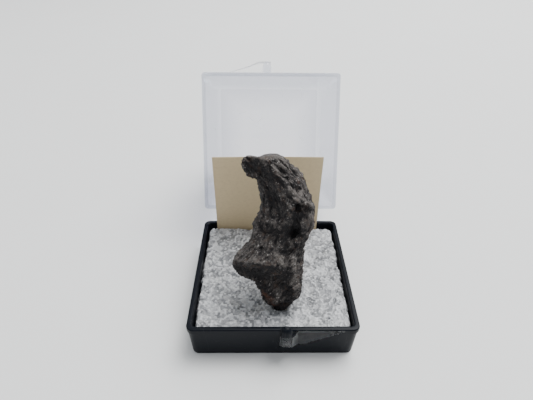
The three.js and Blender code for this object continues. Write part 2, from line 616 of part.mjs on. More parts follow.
function trayFilmGeometry() {
  return filmGeometry({
    from: TRAY_FILM.from,
    to: TRAY_FILM.to,
    steps: 24,
    low: (x) => follow(TRAY_FILM.lowerEdge, x),
    high: () => TRAY_FILM.upperEdge,
    out: (x, z) => Math.max(
      trayHalf(z) + RIM_BAND_STEP + FILM_OFF_WALL,
      HALF + FILM_OFF_WALL + follow(TRAY_FILM.bulge, x) * follow(TRAY_FILM.fadeIn, z)),
  });
}

function lidFilmGeometry() {
  return filmGeometry({
    from: LID_FILM.from,
    to: LID_FILM.to,
    steps: 14,
    low: () => LID_FILM.lowerEdge,
    high: (x) => follow(LID_FILM.upperEdge, x),
    out: (x) => HALF + follow(LID_FILM.bulge, x),
  });
}

function named(name, geometry, material) {
  const mesh = new THREE.Mesh(geometry, material);
  mesh.name = name;
  return mesh;
}

function meteorite() {
  const stone = named('meteorite', meteoriteGeometry(), iron);
  stone.position.set(...FOOT);
  stone.rotation.x = -THREE.MathUtils.degToRad(LEAN_DEGREES);
  return stone;
}

function card() {
  const height = CARD_TOP - CARD_BOTTOM;
  const lean = THREE.MathUtils.degToRad(CARD_LEAN_DEGREES);
  const sheet = named('card', new THREE.BoxGeometry(CARD_WIDTH, CARD_THICKNESS, height), paper);
  const middle = (CARD_TOP + CARD_BOTTOM) / 2;
  sheet.position.set(CARD_X, CARD_Y_AT_RIM - (middle - RIM_Z) * Math.tan(lean), middle);
  sheet.rotation.set(lean, 0, THREE.MathUtils.degToRad(CARD_TURN_DEGREES));
  return sheet;
}

// What turns on the hinge: built closed, then turned open about the axis
function openLid() {
  const turning = new THREE.Group();
  turning.position.copy(HINGE);
  turning.rotation.x = -THREE.MathUtils.degToRad(LID_OPEN_DEGREES);
  for (const piece of [
    named('lid', lidGeometry(), plastic.clear),
    named('tape_on_lid', lidFilmGeometry(), film),
  ]) {
    piece.geometry.translate(-HINGE.x, -HINGE.y, -HINGE.z);
    turning.add(piece);
  }
  return turning;
}

const box = new THREE.Group();
box.add(named('tray', trayGeometry(), plastic.black));
box.add(named('foam_bed', foamGeometry(), foam));
box.add(meteorite());
box.add(card());
box.add(named('tape_on_tray', trayFilmGeometry(), film));
box.add(openLid());

export default box;
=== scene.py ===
"""The looks of an iron meteorite that stands on its foot in the foam of a small square specimen box.

The box has a black tray, a paper card behind the foam, torn clear film at its front and a clear lid that lies
open behind it on its hinge. Sizes are millimetres in the object's own frame: +Z up, the front facing -Y, and
the origin in the middle of the tray's underside. Meshes are written in metres.
"""

import json
import logging
from collections.abc import Callable, Sequence
from dataclasses import dataclass, field
from enum import Enum

import bpy
import numpy as np
from mathutils import Matrix


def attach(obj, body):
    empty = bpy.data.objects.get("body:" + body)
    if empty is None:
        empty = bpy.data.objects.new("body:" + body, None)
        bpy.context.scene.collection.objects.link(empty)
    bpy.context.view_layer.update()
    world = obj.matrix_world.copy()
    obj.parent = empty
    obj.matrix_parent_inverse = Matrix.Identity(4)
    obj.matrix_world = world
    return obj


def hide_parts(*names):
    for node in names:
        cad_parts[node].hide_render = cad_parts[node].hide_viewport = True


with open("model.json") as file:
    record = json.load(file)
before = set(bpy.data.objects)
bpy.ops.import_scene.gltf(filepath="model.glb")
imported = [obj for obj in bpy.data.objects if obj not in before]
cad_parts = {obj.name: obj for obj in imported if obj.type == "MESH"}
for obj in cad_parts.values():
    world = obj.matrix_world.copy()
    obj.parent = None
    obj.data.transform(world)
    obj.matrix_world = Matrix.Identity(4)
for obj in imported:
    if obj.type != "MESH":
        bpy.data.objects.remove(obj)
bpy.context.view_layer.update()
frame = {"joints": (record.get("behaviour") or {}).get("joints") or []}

Array = np.ndarray
Triple = tuple[float, float, float]
Colour = Triple
Pairs = tuple[tuple[float, float], ...]

MM = 0.001
log = logging.getLogger("specimen_box")


class Body(Enum):
    """The two parts of the box that move against each other."""

    TRAY = "tray"
    LID = "lid"


class Slot(Enum):
    """The finishes that the record lists."""

    BLACK_PLASTIC = "black_plastic"
    FOAM = "foam"
    IRON = "iron"
    CARD = "card"
    FILM = "film"
    CLEAR_PLASTIC = "clear_plastic"


# Numbers on arrays


def follow(pairs: Pairs, at: Array) -> Array:
    """A smooth curve through [place, value] pairs, flat at each of its own highs and lows.

    Each stretch is a cubic whose end slopes are the harmonic mean of the two neighbouring straight slopes, or
    zero where those differ in sign.

    Args:
        pairs: The places, rising, with their values.
        at: Where the curve is wanted.

    Returns:
        The curve's value at each place.
    """
    place, value = np.array(pairs, float).T
    span = np.diff(place)
    slope = np.diff(value) / span
    before, after = slope[:-1], slope[1:]
    same_way = before * after > 0
    middle = np.where(same_way, 2 * before * after / np.where(same_way, before + after, 1), 0)
    tangent = np.concatenate([slope[:1], middle, slope[-1:]])
    i = np.clip(np.searchsorted(place, at), 1, len(place) - 1)
    t = np.clip((at - place[i - 1]) / span[i - 1], 0, 1)
    rise = value[i] - value[i - 1]
    start, end = tangent[i - 1] * span[i - 1], tangent[i] * span[i - 1]
    return value[i - 1] + start * t + (3 * rise - 2 * start - end) * t**2 + (start + end - 2 * rise) * t**3


def ease(value: Array, low: float, high: float) -> Array:
    """A smooth step: 0 below low, 1 above high, and the cubic 3t^2 - 2t^3 between."""
    t = np.clip((value - low) / (high - low), 0, 1)
    return t * t * (3 - 2 * t)


def hashed(cells: Array, seed: int) -> Array:
    """A random number from 0 to 1 for each whole-number cell.

    The three indices are multiplied by large odd numbers and joined by exclusive or, and the bits are then
    stirred by two rounds of shift and multiply.

    Args:
        cells: Whole numbers whose last axis is x, y, z.
        seed: Which of the many patterns.

    Returns:
        One number for each cell.
    """
    x, y, z = ((cells[..., k] & 0xFFFFFFFF).astype(np.uint32) for k in range(3))
    n = x * np.uint32(73856093) ^ y * np.uint32(19349663) ^ z * np.uint32(83492791)
    n = n ^ np.uint32(seed * 2654435761 % 2**32)
    n = (n ^ (n >> np.uint32(15))) * np.uint32(2246822519)
    n = (n ^ (n >> np.uint32(13))) * np.uint32(3266489917)
    return (n ^ (n >> np.uint32(16))) / 2**32


def hashed_places(cells: Array, seed: int) -> Array:
    """Three random numbers from 0 to 1 for each cell, as a place in it."""
    return np.stack([hashed(cells, seed + k) for k in range(3)], axis=-1)


def smooth_noise(points: Array, size: float, seed: int) -> Array:
    """Noise from -1 to 1: random numbers at the corners of a lattice, blended by a quintic between them.

    Args:
        points: Places whose last axis is x, y, z.
        size: The lattice's spacing.
        seed: Which of the many patterns.

    Returns:
        One number for each place.
    """
    place = points / size
    base = np.floor(place).astype(np.int64)
    part = place - base
    blend = part**3 * (part * (part * 6 - 15) + 10)
    total = np.zeros(points.shape[:-1])
    for corner in np.ndindex(2, 2, 2):
        weight = np.where(np.array(corner) == 1, blend, 1 - blend).prod(axis=-1)
        total += weight * hashed(base + np.array(corner), seed)
    return 2 * total - 1


def layered_noise(points: Array, size: float, seed: int, layers: int = 3) -> Array:
    """Noise at a size and at finer ones, each half the size and half the height of the one before."""
    return sum(smooth_noise(points, size / 2**k, seed + k) / 2**k for k in range(layers))


def drifted(points: Array, size: float, seed: int, reach: float) -> Array:
    """The places moved about smoothly by three noises, each by up to the reach."""
    return points + reach * np.stack([smooth_noise(points, size, seed + k) for k in range(3)], axis=-1)


def cell_pattern(points: Array, size: float, seed: int) -> tuple[Array, Array, Array]:
    """Distances to the nearest and the second nearest of many scattered dots, one dot to a lattice cell.

    Args:
        points: Places whose last axis is x, y, z.
        size: The lattice's spacing.
        seed: Which of the many patterns.

    Returns:
        Both distances, in lattice spacings, and the nearest dot's own random number.
    """
    place = points / size
    base = np.floor(place).astype(np.int64)
    nearest = np.full(points.shape[:-1], 9.0)
    second = nearest.copy()
    number = np.zeros(points.shape[:-1])
    for step in np.ndindex(3, 3, 3):
        cell = base + np.array(step) - 1
        dot = cell + hashed_places(cell, seed + 1)
        distance = np.sqrt(((dot - place) ** 2).sum(axis=-1))
        second = np.minimum(second, np.maximum(distance, nearest))
        number = np.where(distance < nearest, hashed(cell, seed + 4), number)
        nearest = np.minimum(nearest, distance)
    return nearest, second, number


def facets(points: Array, size: float, seed: int, tilt: float, soft: float = 0.25) -> Array:
    """A surface of flat facets that meet at creases, like broken or hammered metal.

    Space is parted among scattered dots, and each dot has a plane of its own, which is tilted and offset at
    random. A place takes the height of its nearest dot's plane, eased into the second nearest's at a crease.

    Args:
        points: Places whose last axis is x, y, z.
        size: The dots' spacing.
        seed: Which of the many patterns.
        tilt: How steep the planes are, as a slope.
        soft: How wide the creases are, in spacings.

    Returns:
        A height for each place, in the points' own unit.
    """
    place = points / size
    base = np.floor(place).astype(np.int64)
    nearest = np.full(points.shape[:-1], 9.0)
    second = nearest.copy()
    height = np.zeros(points.shape[:-1])
    other = height.copy()
    for step in np.ndindex(3, 3, 3):
        cell = base + np.array(step) - 1
        away = place - cell - hashed_places(cell, seed + 1)
        slope = hashed_places(cell, seed + 5) * 2 - 1
        plane = (slope * away).sum(axis=-1) + 0.5 * (hashed(cell, seed + 8) - 0.5)
        distance = np.sqrt((away**2).sum(axis=-1))
        closer = distance < nearest
        between = ~closer & (distance < second)
        other = np.where(closer, height, np.where(between, plane, other))
        second = np.where(closer, nearest, np.where(between, distance, second))
        height = np.where(closer, plane, height)
        nearest = np.where(closer, distance, nearest)
    share = 0.5 + 0.5 * ease(second - nearest, 0.0, soft)
    return tilt * size * (height * share + other * (1 - share))


def eased_least(values: Sequence[Array], width: float) -> Array:
    """The least of several arrays, rounded where two of them cross.

    Where two values differ by less than the width, the square of what is missing, over four widths,
    comes off.

    Args:
        values: The arrays.
        width: How wide the rounding is.

    Returns:
        The eased least values.
    """
    least = values[0]
    for value in values[1:]:
        missing = (width - np.abs(least - value)).clip(0)
        least = np.minimum(least, value) - missing**2 / (4 * width)
    return least


def grid_normals(rings: Array) -> Array:
    """Unit normals on a stack of closed rings: the cross product of the steps round and up the stack."""
    around = np.roll(rings, -1, axis=1) - np.roll(rings, 1, axis=1)
    upward = np.gradient(rings, axis=0)
    normal = np.cross(around, upward)
    return normal / np.maximum(np.linalg.norm(normal, axis=-1, keepdims=True), 1e-9)


def about_x(degrees: float) -> Array:
    """The matrix of a turn about x, from y towards z."""
    a = np.radians(degrees)
    return np.array([[1, 0, 0], [0, np.cos(a), -np.sin(a)], [0, np.sin(a), np.cos(a)]])


def circle_points(middle: tuple[float, float], radius: float, angle: Array) -> Array:
    """Places on a circle at the angles, as two columns."""
    return np.stack([middle[0] + radius * np.cos(angle), middle[1] + radius * np.sin(angle)], axis=-1)


def quarter_round(
    edge: tuple[float, float], reach: tuple[float, float], corner: float, upright: bool, shrink: float = 0.0
) -> list[Triple]:
    """The rows of a profile that round off one of its edges by a quarter of a circle.

    Args:
        edge: Where the sharp edge would be, as height and half the side.
        reach: How far the rounding reaches from it, as height and half the side, each with its sign.
        corner: The corner radius there.
        upright: Whether the profile arrives upright and leaves level, and not the other way round.
        shrink: How much the corner radius shrinks with the half side, as a share.

    Returns:
        Rows of height, half the side and corner radius.
    """
    turn = np.linspace(0, np.pi / 2, 6)
    first, last = 1 - np.sin(turn), 1 - np.cos(turn)
    rise, out = (first, last) if upright else (last, first)
    return [
        (edge[0] + reach[0] * up, edge[1] + reach[1] * aside, corner - shrink * abs(reach[1]) * aside)
        for up, aside in zip(rise, out)
    ]


# Closed surfaces


@dataclass
class Surface:
    """A closed mesh as whole arrays, in millimetres.

    Attributes:
        points: One row of x, y, z for each vertex.
        faces: Arrays of vertex numbers, one array for each count of corners.
        values: Named numbers, one for each vertex, that a finish reads.
    """

    points: Array
    faces: list[Array]
    values: dict[str, Array] = field(default_factory=dict)

    def placed(self, turn: Array, shift: Array) -> "Surface":
        """The same surface turned by a rotation matrix and then shifted."""
        return Surface(self.points @ turn.T + shift, self.faces, self.values)


def grid_quads(rows: int, columns: int, wrap_rows: bool = False, wrap_columns: bool = True) -> Array:
    """Quads of a grid of numbered points, each running along a row, up and back along the next row.

    Args:
        rows: How many rows of points there are.
        columns: How many points are in a row.
        wrap_rows: Whether the last row joins the first.
        wrap_columns: Whether each row closes on itself.

    Returns:
        Four point numbers for each face.
    """
    i = np.arange(rows if wrap_rows else rows - 1)[:, None]
    j = np.arange(columns if wrap_columns else columns - 1)[None, :]
    low, high = i * columns, (i + 1) % rows * columns
    k = (j + 1) % columns
    return np.stack([low + j, low + k, high + k, high + j], axis=-1).reshape(-1, 4)


def grid_border(rows: int, columns: int) -> Array:
    """The numbers of a grid's border points, in order along the first row and round."""
    number = np.arange(rows * columns).reshape(rows, columns)
    return np.concatenate([number[0, :-1], number[:-1, -1], number[-1, :0:-1], number[:0:-1, 0]])


def skin(rings: Array, values: dict[str, Array] | None = None) -> Surface:
    """A closed skin over a stack of rings, with a flat fan on each end.

    Args:
        rings: Places by ring, by place round it and by x, y, z, anticlockwise as seen from the last ring.
        values: Named numbers for each place on the rings.

    Returns:
        The surface.
    """
    count, around = rings.shape[:2]
    points = np.concatenate([rings.reshape(-1, 3), rings[:1].mean(axis=1), rings[-1:].mean(axis=1)])
    a = np.arange(around)
    b = (a + 1) % around
    last = (count - 1) * around
    first_fan = np.stack([np.full(around, count * around), b, a], axis=-1)
    last_fan = np.stack([np.full(around, count * around + 1), last + a, last + b], axis=-1)
    ends = {
        name: np.concatenate([value.ravel(), [value[0].mean(), value[-1].mean()]])
        for name, value in (values or {}).items()
    }
    return Surface(points, [grid_quads(count, around), np.concatenate([first_fan, last_fan])], ends)


def looped(rings: Array) -> Surface:
    """A closed skin over rings of which the last joins the first, as round a ring or a pierced plate."""
    count, around = rings.shape[:2]
    return Surface(rings.reshape(-1, 3), [grid_quads(count, around, wrap_rows=True)])


def sheet(outer: Array, inner: Array, values: dict[str, Array] | None = None) -> Surface:
    """A thin closed sheet between two grids of places that share their layout, joined along all four edges.

    Args:
        outer: Places by row, by column and by x, y, z; rows to columns turns anticlockwise seen from outside.
        inner: The places on the other side.
        values: Named numbers for each place, the same on both sides.

    Returns:
        The surface.
    """
    rows, columns = outer.shape[:2]
    count = rows * columns
    face = grid_quads(rows, columns, wrap_columns=False)
    border = grid_border(rows, columns)
    following = np.roll(border, -1)
    rim = np.stack([following, border, border + count, following + count], axis=-1)
    both = {name: np.tile(v.ravel(), 2) for name, v in (values or {}).items()}
    points = np.concatenate([outer.reshape(-1, 3), inner.reshape(-1, 3)])
    return Surface(points, [np.concatenate([face, face[:, ::-1] + count, rim])], both)


def joined(surfaces: Sequence[Surface]) -> Surface:
    """Several closed surfaces in one mesh."""
    starts = np.cumsum([0] + [len(s.points) for s in surfaces])
    faces = [face + start for s, start in zip(surfaces, starts) for face in s.faces]
    return Surface(np.concatenate([s.points for s in surfaces]), faces)


def prism(outline: Array, x0: float, x1: float, bevel: float) -> Surface:
    """A plate along x whose outline has its edges eased: the end rings are drawn in by the bevel.

    Args:
        outline: Places as y and z, anticlockwise as seen from +x.
        x0: Its lower end.
        x1: Its upper end.
        bevel: How much the edges are eased.

    Returns:
        The surface.
    """
    along = np.roll(outline, -1, axis=0) - np.roll(outline, 1, axis=0)
    outward = np.stack([along[:, 1], -along[:, 0]], axis=-1)
    outward /= np.linalg.norm(outward, axis=-1, keepdims=True)
    rings = []
    for x, inset in ((x0, bevel), (x0 + bevel, 0), (x1 - bevel, 0), (x1, bevel)):
        yz = outline - outward * inset
        rings.append(np.column_stack([np.full(len(yz), x), yz]))
    return skin(np.stack(rings))


def held(levels: Array, near: float = 0.25) -> Array:
    """A profile with a level added just inside each end of its long stretches, which shades them flat.

    Args:
        levels: Rows that start with the height and half the side.
        near: How far inside the ends the added levels are.

    Returns:
        The rows with the added ones.
    """
    rows = [levels[0]]
    for before, after in zip(levels[:-1], levels[1:]):
        step = (after - before) * near / max(np.hypot(*(after - before)[:2]), near)
        if np.hypot(*(after - before)[:2]) > 5 * near:
            rows += [before + step, after - step]
        rows.append(after)
    return np.array(rows)


@dataclass(frozen=True)
class SquareLoop:
    """Places round a square with round corners, anticlockwise from above.

    Attributes:
        corner_steps: Steps in each corner's arc.
        side_steps: Steps along each straight side.
    """

    corner_steps: int = 8
    side_steps: int = 10

    def rings(self, levels: Array) -> Array:
        """Rings of the loop at several levels.

        Each place is the corner's centre, which slides from corner to corner along a straight side, plus the
        corner radius at the arc's angle.

        Args:
            levels: Rows of height, half the side along y, corner radius and half the side along x.

        Returns:
            Places by level, by place round the loop and by x, y, z.
        """
        signs = np.array([[1, 1], [-1, 1], [-1, -1], [1, -1]], float)
        arc = np.linspace(0, np.pi / 2, self.corner_steps + 1)
        slide = np.linspace(0.08, 0.92, self.side_steps - 3)
        slide = np.concatenate([[0.006], slide, [0.994]])[:, None]
        sign, angle = [], []
        for quarter in range(4):
            here, after = signs[quarter], signs[(quarter + 1) % 4]
            sign += [np.tile(here, (len(arc), 1)), here + (after - here) * slide]
            angle += [arc + quarter * np.pi / 2, np.full(self.side_steps - 1, (quarter + 1) * np.pi / 2)]
        sign, angle = np.concatenate(sign), np.concatenate(angle)
        levels = held(levels)
        along_x = 3 if levels.shape[1] > 3 else 1
        z, half_y, radius, half_x = (levels[:, k][:, None] for k in (0, 1, 2, along_x))
        x = sign[:, 0] * (half_x - radius) + radius * np.cos(angle)
        y = sign[:, 1] * (half_y - radius) + radius * np.sin(angle)
        return np.stack([x, y, np.broadcast_to(z, x.shape)], axis=-1)


def add_piece(
    surface: Surface,
    name: str,
    body: Body,
    slot: Slot,
    material: bpy.types.Material,
    stands_for: Sequence[str] = (),
    sharp_degrees: float | None = None,
) -> bpy.types.Object:
    """Makes a surface a piece of the object.

    Args:
        surface: Its mesh, in millimetres.
        name: The piece's name.
        body: What it moves with.
        slot: The record's finish; not used.
        material: Its material.
        stands_for: The plain nodes that it is shown instead of.
        sharp_degrees: Edges that turn by more than this stay sharp, if it is given.

    Returns:
        The piece.
    """
    mesh = bpy.data.meshes.new(name)
    mesh.vertices.add(len(surface.points))
    mesh.vertices.foreach_set("co", (surface.points * MM).astype(np.float32).ravel())
    corners = np.concatenate([face.ravel() for face in surface.faces]).astype(np.int32)
    sizes = np.concatenate([np.full(len(face), face.shape[1]) for face in surface.faces])
    mesh.loops.add(len(corners))
    mesh.loops.foreach_set("vertex_index", corners)
    mesh.polygons.add(len(sizes))
    mesh.polygons.foreach_set("loop_start", np.concatenate([[0], np.cumsum(sizes)[:-1]]).astype(np.int32))
    mesh.update(calc_edges=True)
    mesh.polygons.foreach_set("use_smooth", np.ones(len(sizes), bool))
    for title, values in surface.values.items():
        attribute = mesh.attributes.new(title, "FLOAT", "POINT")
        attribute.data.foreach_set("value", values.astype(np.float32))
    if sharp_degrees is not None:
        mesh.set_sharp_from_angle(angle=np.radians(sharp_degrees))
    mesh.materials.append(material)
    piece = bpy.data.objects.new(name, mesh)
    bpy.context.scene.collection.objects.link(piece)
    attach(piece, body.value)
    if stands_for:
        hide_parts(*stands_for)
    log.info("%s: %d triangles", name, int((sizes - 2).sum()))
    return piece


# Shader graphs


class Signal:
    """A socket of a material's graph. Arithmetic on it adds the Math nodes that work it out."""

    def __init__(self, shade: "Shade", socket: bpy.types.NodeSocket) -> None:
        """Wraps a socket of a graph."""
        self.shade = shade
        self.socket = socket

    def _math(self, operation: str, first: "Signal | float", second: "Signal | float") -> "Signal":
        """A Math node on two values."""
        return self.shade.node("ShaderNodeMath", {"operation": operation}, {0: first, 1: second})

    def __add__(self, other: "Signal | float") -> "Signal":
        """The sum."""
        return self._math("ADD", self, other)

    __radd__ = __add__

    def __sub__(self, other: "Signal | float") -> "Signal":
        """The difference."""
        return self._math("SUBTRACT", self, other)

    def __mul__(self, other: "Signal | float") -> "Signal":
        """The product."""
        return self._math("MULTIPLY", self, other)

    def __abs__(self) -> "Signal":
        """This without its sign."""
        return self._math("ABSOLUTE", self, 0.0)

    def step(self, low: float, high: float) -> "Signal":
        """A smooth step from 0 at low to 1 at high, or from 1 to 0 where low is the larger."""
        settings = {"interpolation_type": "SMOOTHSTEP"}
        rises = low < high
        inputs = {"Value": self, "From Min": min(low, high), "From Max": max(low, high)}
        inputs |= {"To Min": 0.0 if rises else 1.0, "To Max": 1.0 if rises else 0.0}
        return self.shade.node("ShaderNodeMapRange", settings, inputs)


class Shade:
    """A material's graph while it is being made."""

    def __init__(self, name: str) -> None:
        """Starts an empty material."""
        self.material = bpy.data.materials.new(name)
        self.material.use_nodes = True
        self.tree = self.material.node_tree
        self.tree.nodes.clear()

    def node(
        self,
        kind: str,
        settings: dict[str, object] | None = None,
        inputs: dict[str | int, object] | None = None,
        output: str | int = 0,
    ) -> Signal:
        """Adds a node.

        Args:
            kind: Blender's name for the type of node.
            settings: Its properties, set first.
            inputs: Values or links for its sockets, by name or number.
            output: Which of its outputs is wanted.

        Returns:
            The wanted output.
        """
        made = self.tree.nodes.new(kind)
        for key, value in (settings or {}).items():
            setattr(made, key, value)
        for key, value in (inputs or {}).items():
            if isinstance(value, Signal):
                self.tree.links.new(value.socket, made.inputs[key])
            else:
                made.inputs[key].default_value = value
        return Signal(self, made.outputs[output])

    def place(self) -> Signal:
        """The place in the object, in metres."""
        return self.node("ShaderNodeTexCoord", output="Object")

    def attribute(self, name: str) -> Signal:
        """A number that the mesh carries at each vertex."""
        return self.node("ShaderNodeAttribute", {"attribute_name": name}, output="Fac")

    def noise(
        self, size: float, detail: float = 2.0, roughness: float = 0.5, stretch: Triple = (1, 1, 1)
    ) -> Signal:
        """Noise from 0 to 1 whose blotches are about a size in millimetres, longer where stretch is small."""
        where = self.node("ShaderNodeMapping", inputs={"Vector": self.place(), "Scale": stretch})
        inputs = {"Vector": where, "Scale": 1 / (size * MM), "Detail": detail, "Roughness": roughness}
        return self.node("ShaderNodeTexNoise", inputs=inputs)

    def blend(self, first: "Colour | Signal", second: "Colour | Signal", factor: Signal | float) -> Signal:
        """A colour between two others."""
        ends = [colour if isinstance(colour, Signal) else (*colour, 1.0) for colour in (first, second)]
        inputs = {0: factor, 6: ends[0], 7: ends[1]}
        return self.node("ShaderNodeMix", {"data_type": "RGBA"}, inputs, output=2)

    def bump(self, height: Signal, depth: float) -> Signal:
        """A bumped normal for a height from 0 to 1 that stands for a depth in millimetres."""
        inputs = {"Strength": 1.0, "Distance": depth * MM, "Height": height}
        return self.node("ShaderNodeBump", inputs=inputs, output="Normal")

    def finish(self, absorption: tuple[Colour, float] | None = None, **sockets: object) -> bpy.types.Material:
        """Ends the graph with a Principled shader.

        Args:
            absorption: The colour that is left in light that crosses the body, and how soon, if it is clear.
            **sockets: Values or links for its sockets, with _ for each space in a name.

        Returns:
            The material.
        """
        inputs = {}
        for key, value in sockets.items():
            name = key.replace("_", " ").title().replace("Ior", "IOR")
            inputs[name] = (*value, 1.0) if isinstance(value, tuple) and name.endswith("Color") else value
        shader = self.node("ShaderNodeBsdfPrincipled", inputs=inputs)
        output = self.tree.nodes.new("ShaderNodeOutputMaterial")
        self.tree.links.new(shader.socket, output.inputs["Surface"])
        if absorption is not None:
            colour, density = absorption
            inside = {"Color": (*colour, 1.0), "Density": density}
            body = self.node("ShaderNodeVolumeAbsorption", inputs=inside)
            self.tree.links.new(body.socket, output.inputs["Volume"])
        return self.material


# Finishes


@dataclass(frozen=True)
class IronFinish:
    """Weathered iron: dark in hollows, grey on ridges, partly as painted shade and light, with rust and
    painted glints.
    """

    # From hollow through body to ridge as the tone rises; the tone carries painted shade and painted light,
    # so the dark end is partly painted shade and the pale end partly painted light.
    hollow: Colour = (0.0175, 0.0167, 0.0178)
    body: Colour = (0.0565, 0.0503, 0.0475)
    ridge: Colour = (0.106, 0.096, 0.089)
    brown: Colour = (0.080, 0.049, 0.035)
    rust: Colour = (0.110, 0.049, 0.029)
    # The pale colour of the painted glints.
    painted_glint: Colour = (0.50, 0.48, 0.46)
    grain_size: float = 0.33
    bump_depth: float = 0.2

    def material(self) -> bpy.types.Material:
        """The material, from the mesh's own height, painted light and rust values."""
        shade = Shade("weathered_iron")
        grain = shade.noise(self.grain_size, detail=4, roughness=0.6)
        mottle = shade.noise(0.75, detail=4, roughness=0.65, stretch=(1.3, 1, 0.5))
        blotch = shade.noise(4.0, detail=4, roughness=0.65)
        # The tone is low in hollows and high where the mesh carries painted light: painted shade in hollows
        # and on undersides, painted light on faces that look up.
        tone = shade.attribute("height") + shade.attribute("worn") * 0.9 - 0.56
        tone = tone + (grain.step(0.35, 0.65) - 0.5) * 0.8 + (mottle.step(0.35, 0.65) - 0.5) * 0.4
        tone = tone + (blotch - 0.5) * 0.5
        dark = shade.blend(self.hollow, self.body, tone.step(0.1, 0.55))
        # Paler towards the ridge colour where the tone is high: on raised places, and where the light is
        # painted in.
        rubbed_and_lit = shade.blend(dark, self.ridge, tone.step(0.5, 1.35))
        brown = shade.noise(2.0, detail=5, roughness=0.65).step(0.53, 0.68)
        browned = shade.blend(rubbed_and_lit, shade.blend(self.brown, rubbed_and_lit, 0.4), brown * 0.7)
        rusty = (shade.attribute("rust") + (grain - 0.5) * 1.8 + (mottle - 0.5) * 1.1).step(0.45, 1.15)
        colour = shade.blend(browned, self.rust, rusty * 0.75)
        # Metal flecks: more metallic and smoother, which is real, and painted pale only where the painted
        # light is strong, which paints glints.
        painted_glint = shade.noise(0.45, detail=1).step(0.66, 0.72) * tone.step(0.3, 0.6)
        colour = shade.blend(colour, self.painted_glint, painted_glint * 0.75)
        return shade.finish(
            base_color=colour,
            metallic=0.35 + painted_glint * 0.3 - rusty * 0.3,
            roughness=0.55 + (grain - 0.5) * 0.35 + rusty * 0.2 - painted_glint * 0.3,
            specular_ior_level=0.22,
            normal=shade.bump(shade.noise(0.32, detail=6, roughness=0.75), self.bump_depth),
        )


@dataclass(frozen=True)
class BlackPlasticFinish:
    """Moulded black polystyrene, satin, with fine scuffs and a little dust."""

    colour: Colour = (0.0034, 0.0048, 0.0080)
    dust: Colour = (0.13, 0.135, 0.145)

    def material(self) -> bpy.types.Material:
        """The material."""
        shade = Shade("black_polystyrene")
        cloud = shade.noise(9.0, detail=4)
        speck = shade.noise(0.45, detail=1).step(0.74, 0.8)
        line = abs(shade.noise(3.0, detail=2, stretch=(1, 1, 0.15)) - 0.5).step(0.012, 0.0)
        scuff = line * cloud.step(0.45, 0.7)
        marks = speck * 0.5 + scuff * 0.35
        return shade.finish(
            base_color=shade.blend(self.colour, self.dust, marks * 0.5),
            roughness=0.34 + (cloud - 0.5) * 0.18 + marks * 0.3,
            specular_ior_level=0.10,
            normal=shade.bump(shade.noise(1.6, detail=3), 0.02),
        )


@dataclass(frozen=True)
class FoamFinish:
    """Cut foam of small translucent cells: light scatters in it, and the glisten of its cell walls is painted
    in as lighter colour.
    """

    shadow: Colour = (0.125, 0.130, 0.138)
    light: Colour = (0.53, 0.536, 0.545)

    def material(self) -> bpy.types.Material:
        """The material, from the mesh's own tone."""
        shade = Shade("cell_foam")
        grain = shade.noise(0.5, detail=3)
        tone = shade.attribute("tone") + (grain - 0.5) * 0.25
        return shade.finish(
            # Between the shadow and light colours by the tone, whose lighter cell walls are painted
            # highlights.
            base_color=shade.blend(self.shadow, self.light, tone.step(0.0, 1.0)),
            subsurface_weight=0.4,
            subsurface_radius=(1.0, 1.0, 1.0),
            subsurface_scale=0.3 * MM,
            roughness=0.15 + grain * 0.35,
            normal=shade.bump(shade.noise(0.35, detail=3), 0.06),
        )


@dataclass(frozen=True)
class PaperFinish:
    """Plain tan card with a faint mottle of fibres."""

    colour: Colour = (0.69, 0.555, 0.345)
    fibre: Colour = (0.63, 0.50, 0.305)

    def material(self) -> bpy.types.Material:
        """The material."""
        shade = Shade("tan_card")
        mottle = shade.noise(1.2, detail=5, roughness=0.7)
        fibre = shade.noise(0.5, detail=3, stretch=(0.3, 1, 1))
        return shade.finish(
            base_color=shade.blend(self.fibre, self.colour, (mottle * 0.6 + fibre * 0.4).step(0.3, 0.6)),
            roughness=0.85 + (fibre - 0.5) * 0.2,
            normal=shade.bump(fibre, 0.03),
        )


@dataclass(frozen=True)
class ClearPlasticFinish:
    """Clear polystyrene with hair scratches and a light haze, painted darker at its edges as painted shade
    for its edge lines.
    """

    colour: Colour = (0.90, 0.90, 0.955)
    scratch: Colour = (0.78, 0.78, 0.82)
    # The painted shade at the shell's edges.
    edge: Colour = (0.62, 0.63, 0.70)
    roughness: float = 0.01
    bending: float = 1.008
    absorbed: tuple[Colour, float] = ((0.22, 0.32, 0.42), 24.0)

    def material(self) -> bpy.types.Material:
        """The material, from the mesh's own edge value, which paints shade along the edges."""
        shade = Shade("clear_polystyrene")
        line = abs(shade.noise(14.0, detail=0.5) - 0.5).step(0.006, 0.001)
        short = shade.noise(7.0, detail=1).step(0.45, 0.62)
        haze = shade.noise(6.0, detail=5).step(0.45, 0.75)
        marked = shade.blend(self.colour, self.scratch, line * short)
        return shade.finish(
            base_color=shade.blend(marked, self.edge, shade.attribute("edge")),
            roughness=self.roughness + haze * 0.02 + line * short * 0.4,
            ior=self.bending,
            transmission_weight=1.0,
            coat_weight=0.6,
            coat_roughness=0.03,
            coat_ior=1.5,
            absorption=self.absorbed,
        )


@dataclass(frozen=True)
class FilmFinish:
    """Thin clear film, hazed where it is wrinkled."""

    colour: Colour = (0.97, 0.975, 0.98)

    def material(self) -> bpy.types.Material:
        """The material, from the mesh's own haze."""
        shade = Shade("clear_film")
        haze = shade.attribute("haze")
        wrinkle = shade.noise(1.8, detail=4, roughness=0.6, stretch=(0.5, 1, 1.4)) * haze
        return shade.finish(
            base_color=self.colour,
            roughness=0.03 + wrinkle.step(0.35, 0.7) * 0.12 + haze * 0.38,
            ior=1.12,
            transmission_weight=1.0,
            normal=shade.bump(wrinkle, 0.03),
        )


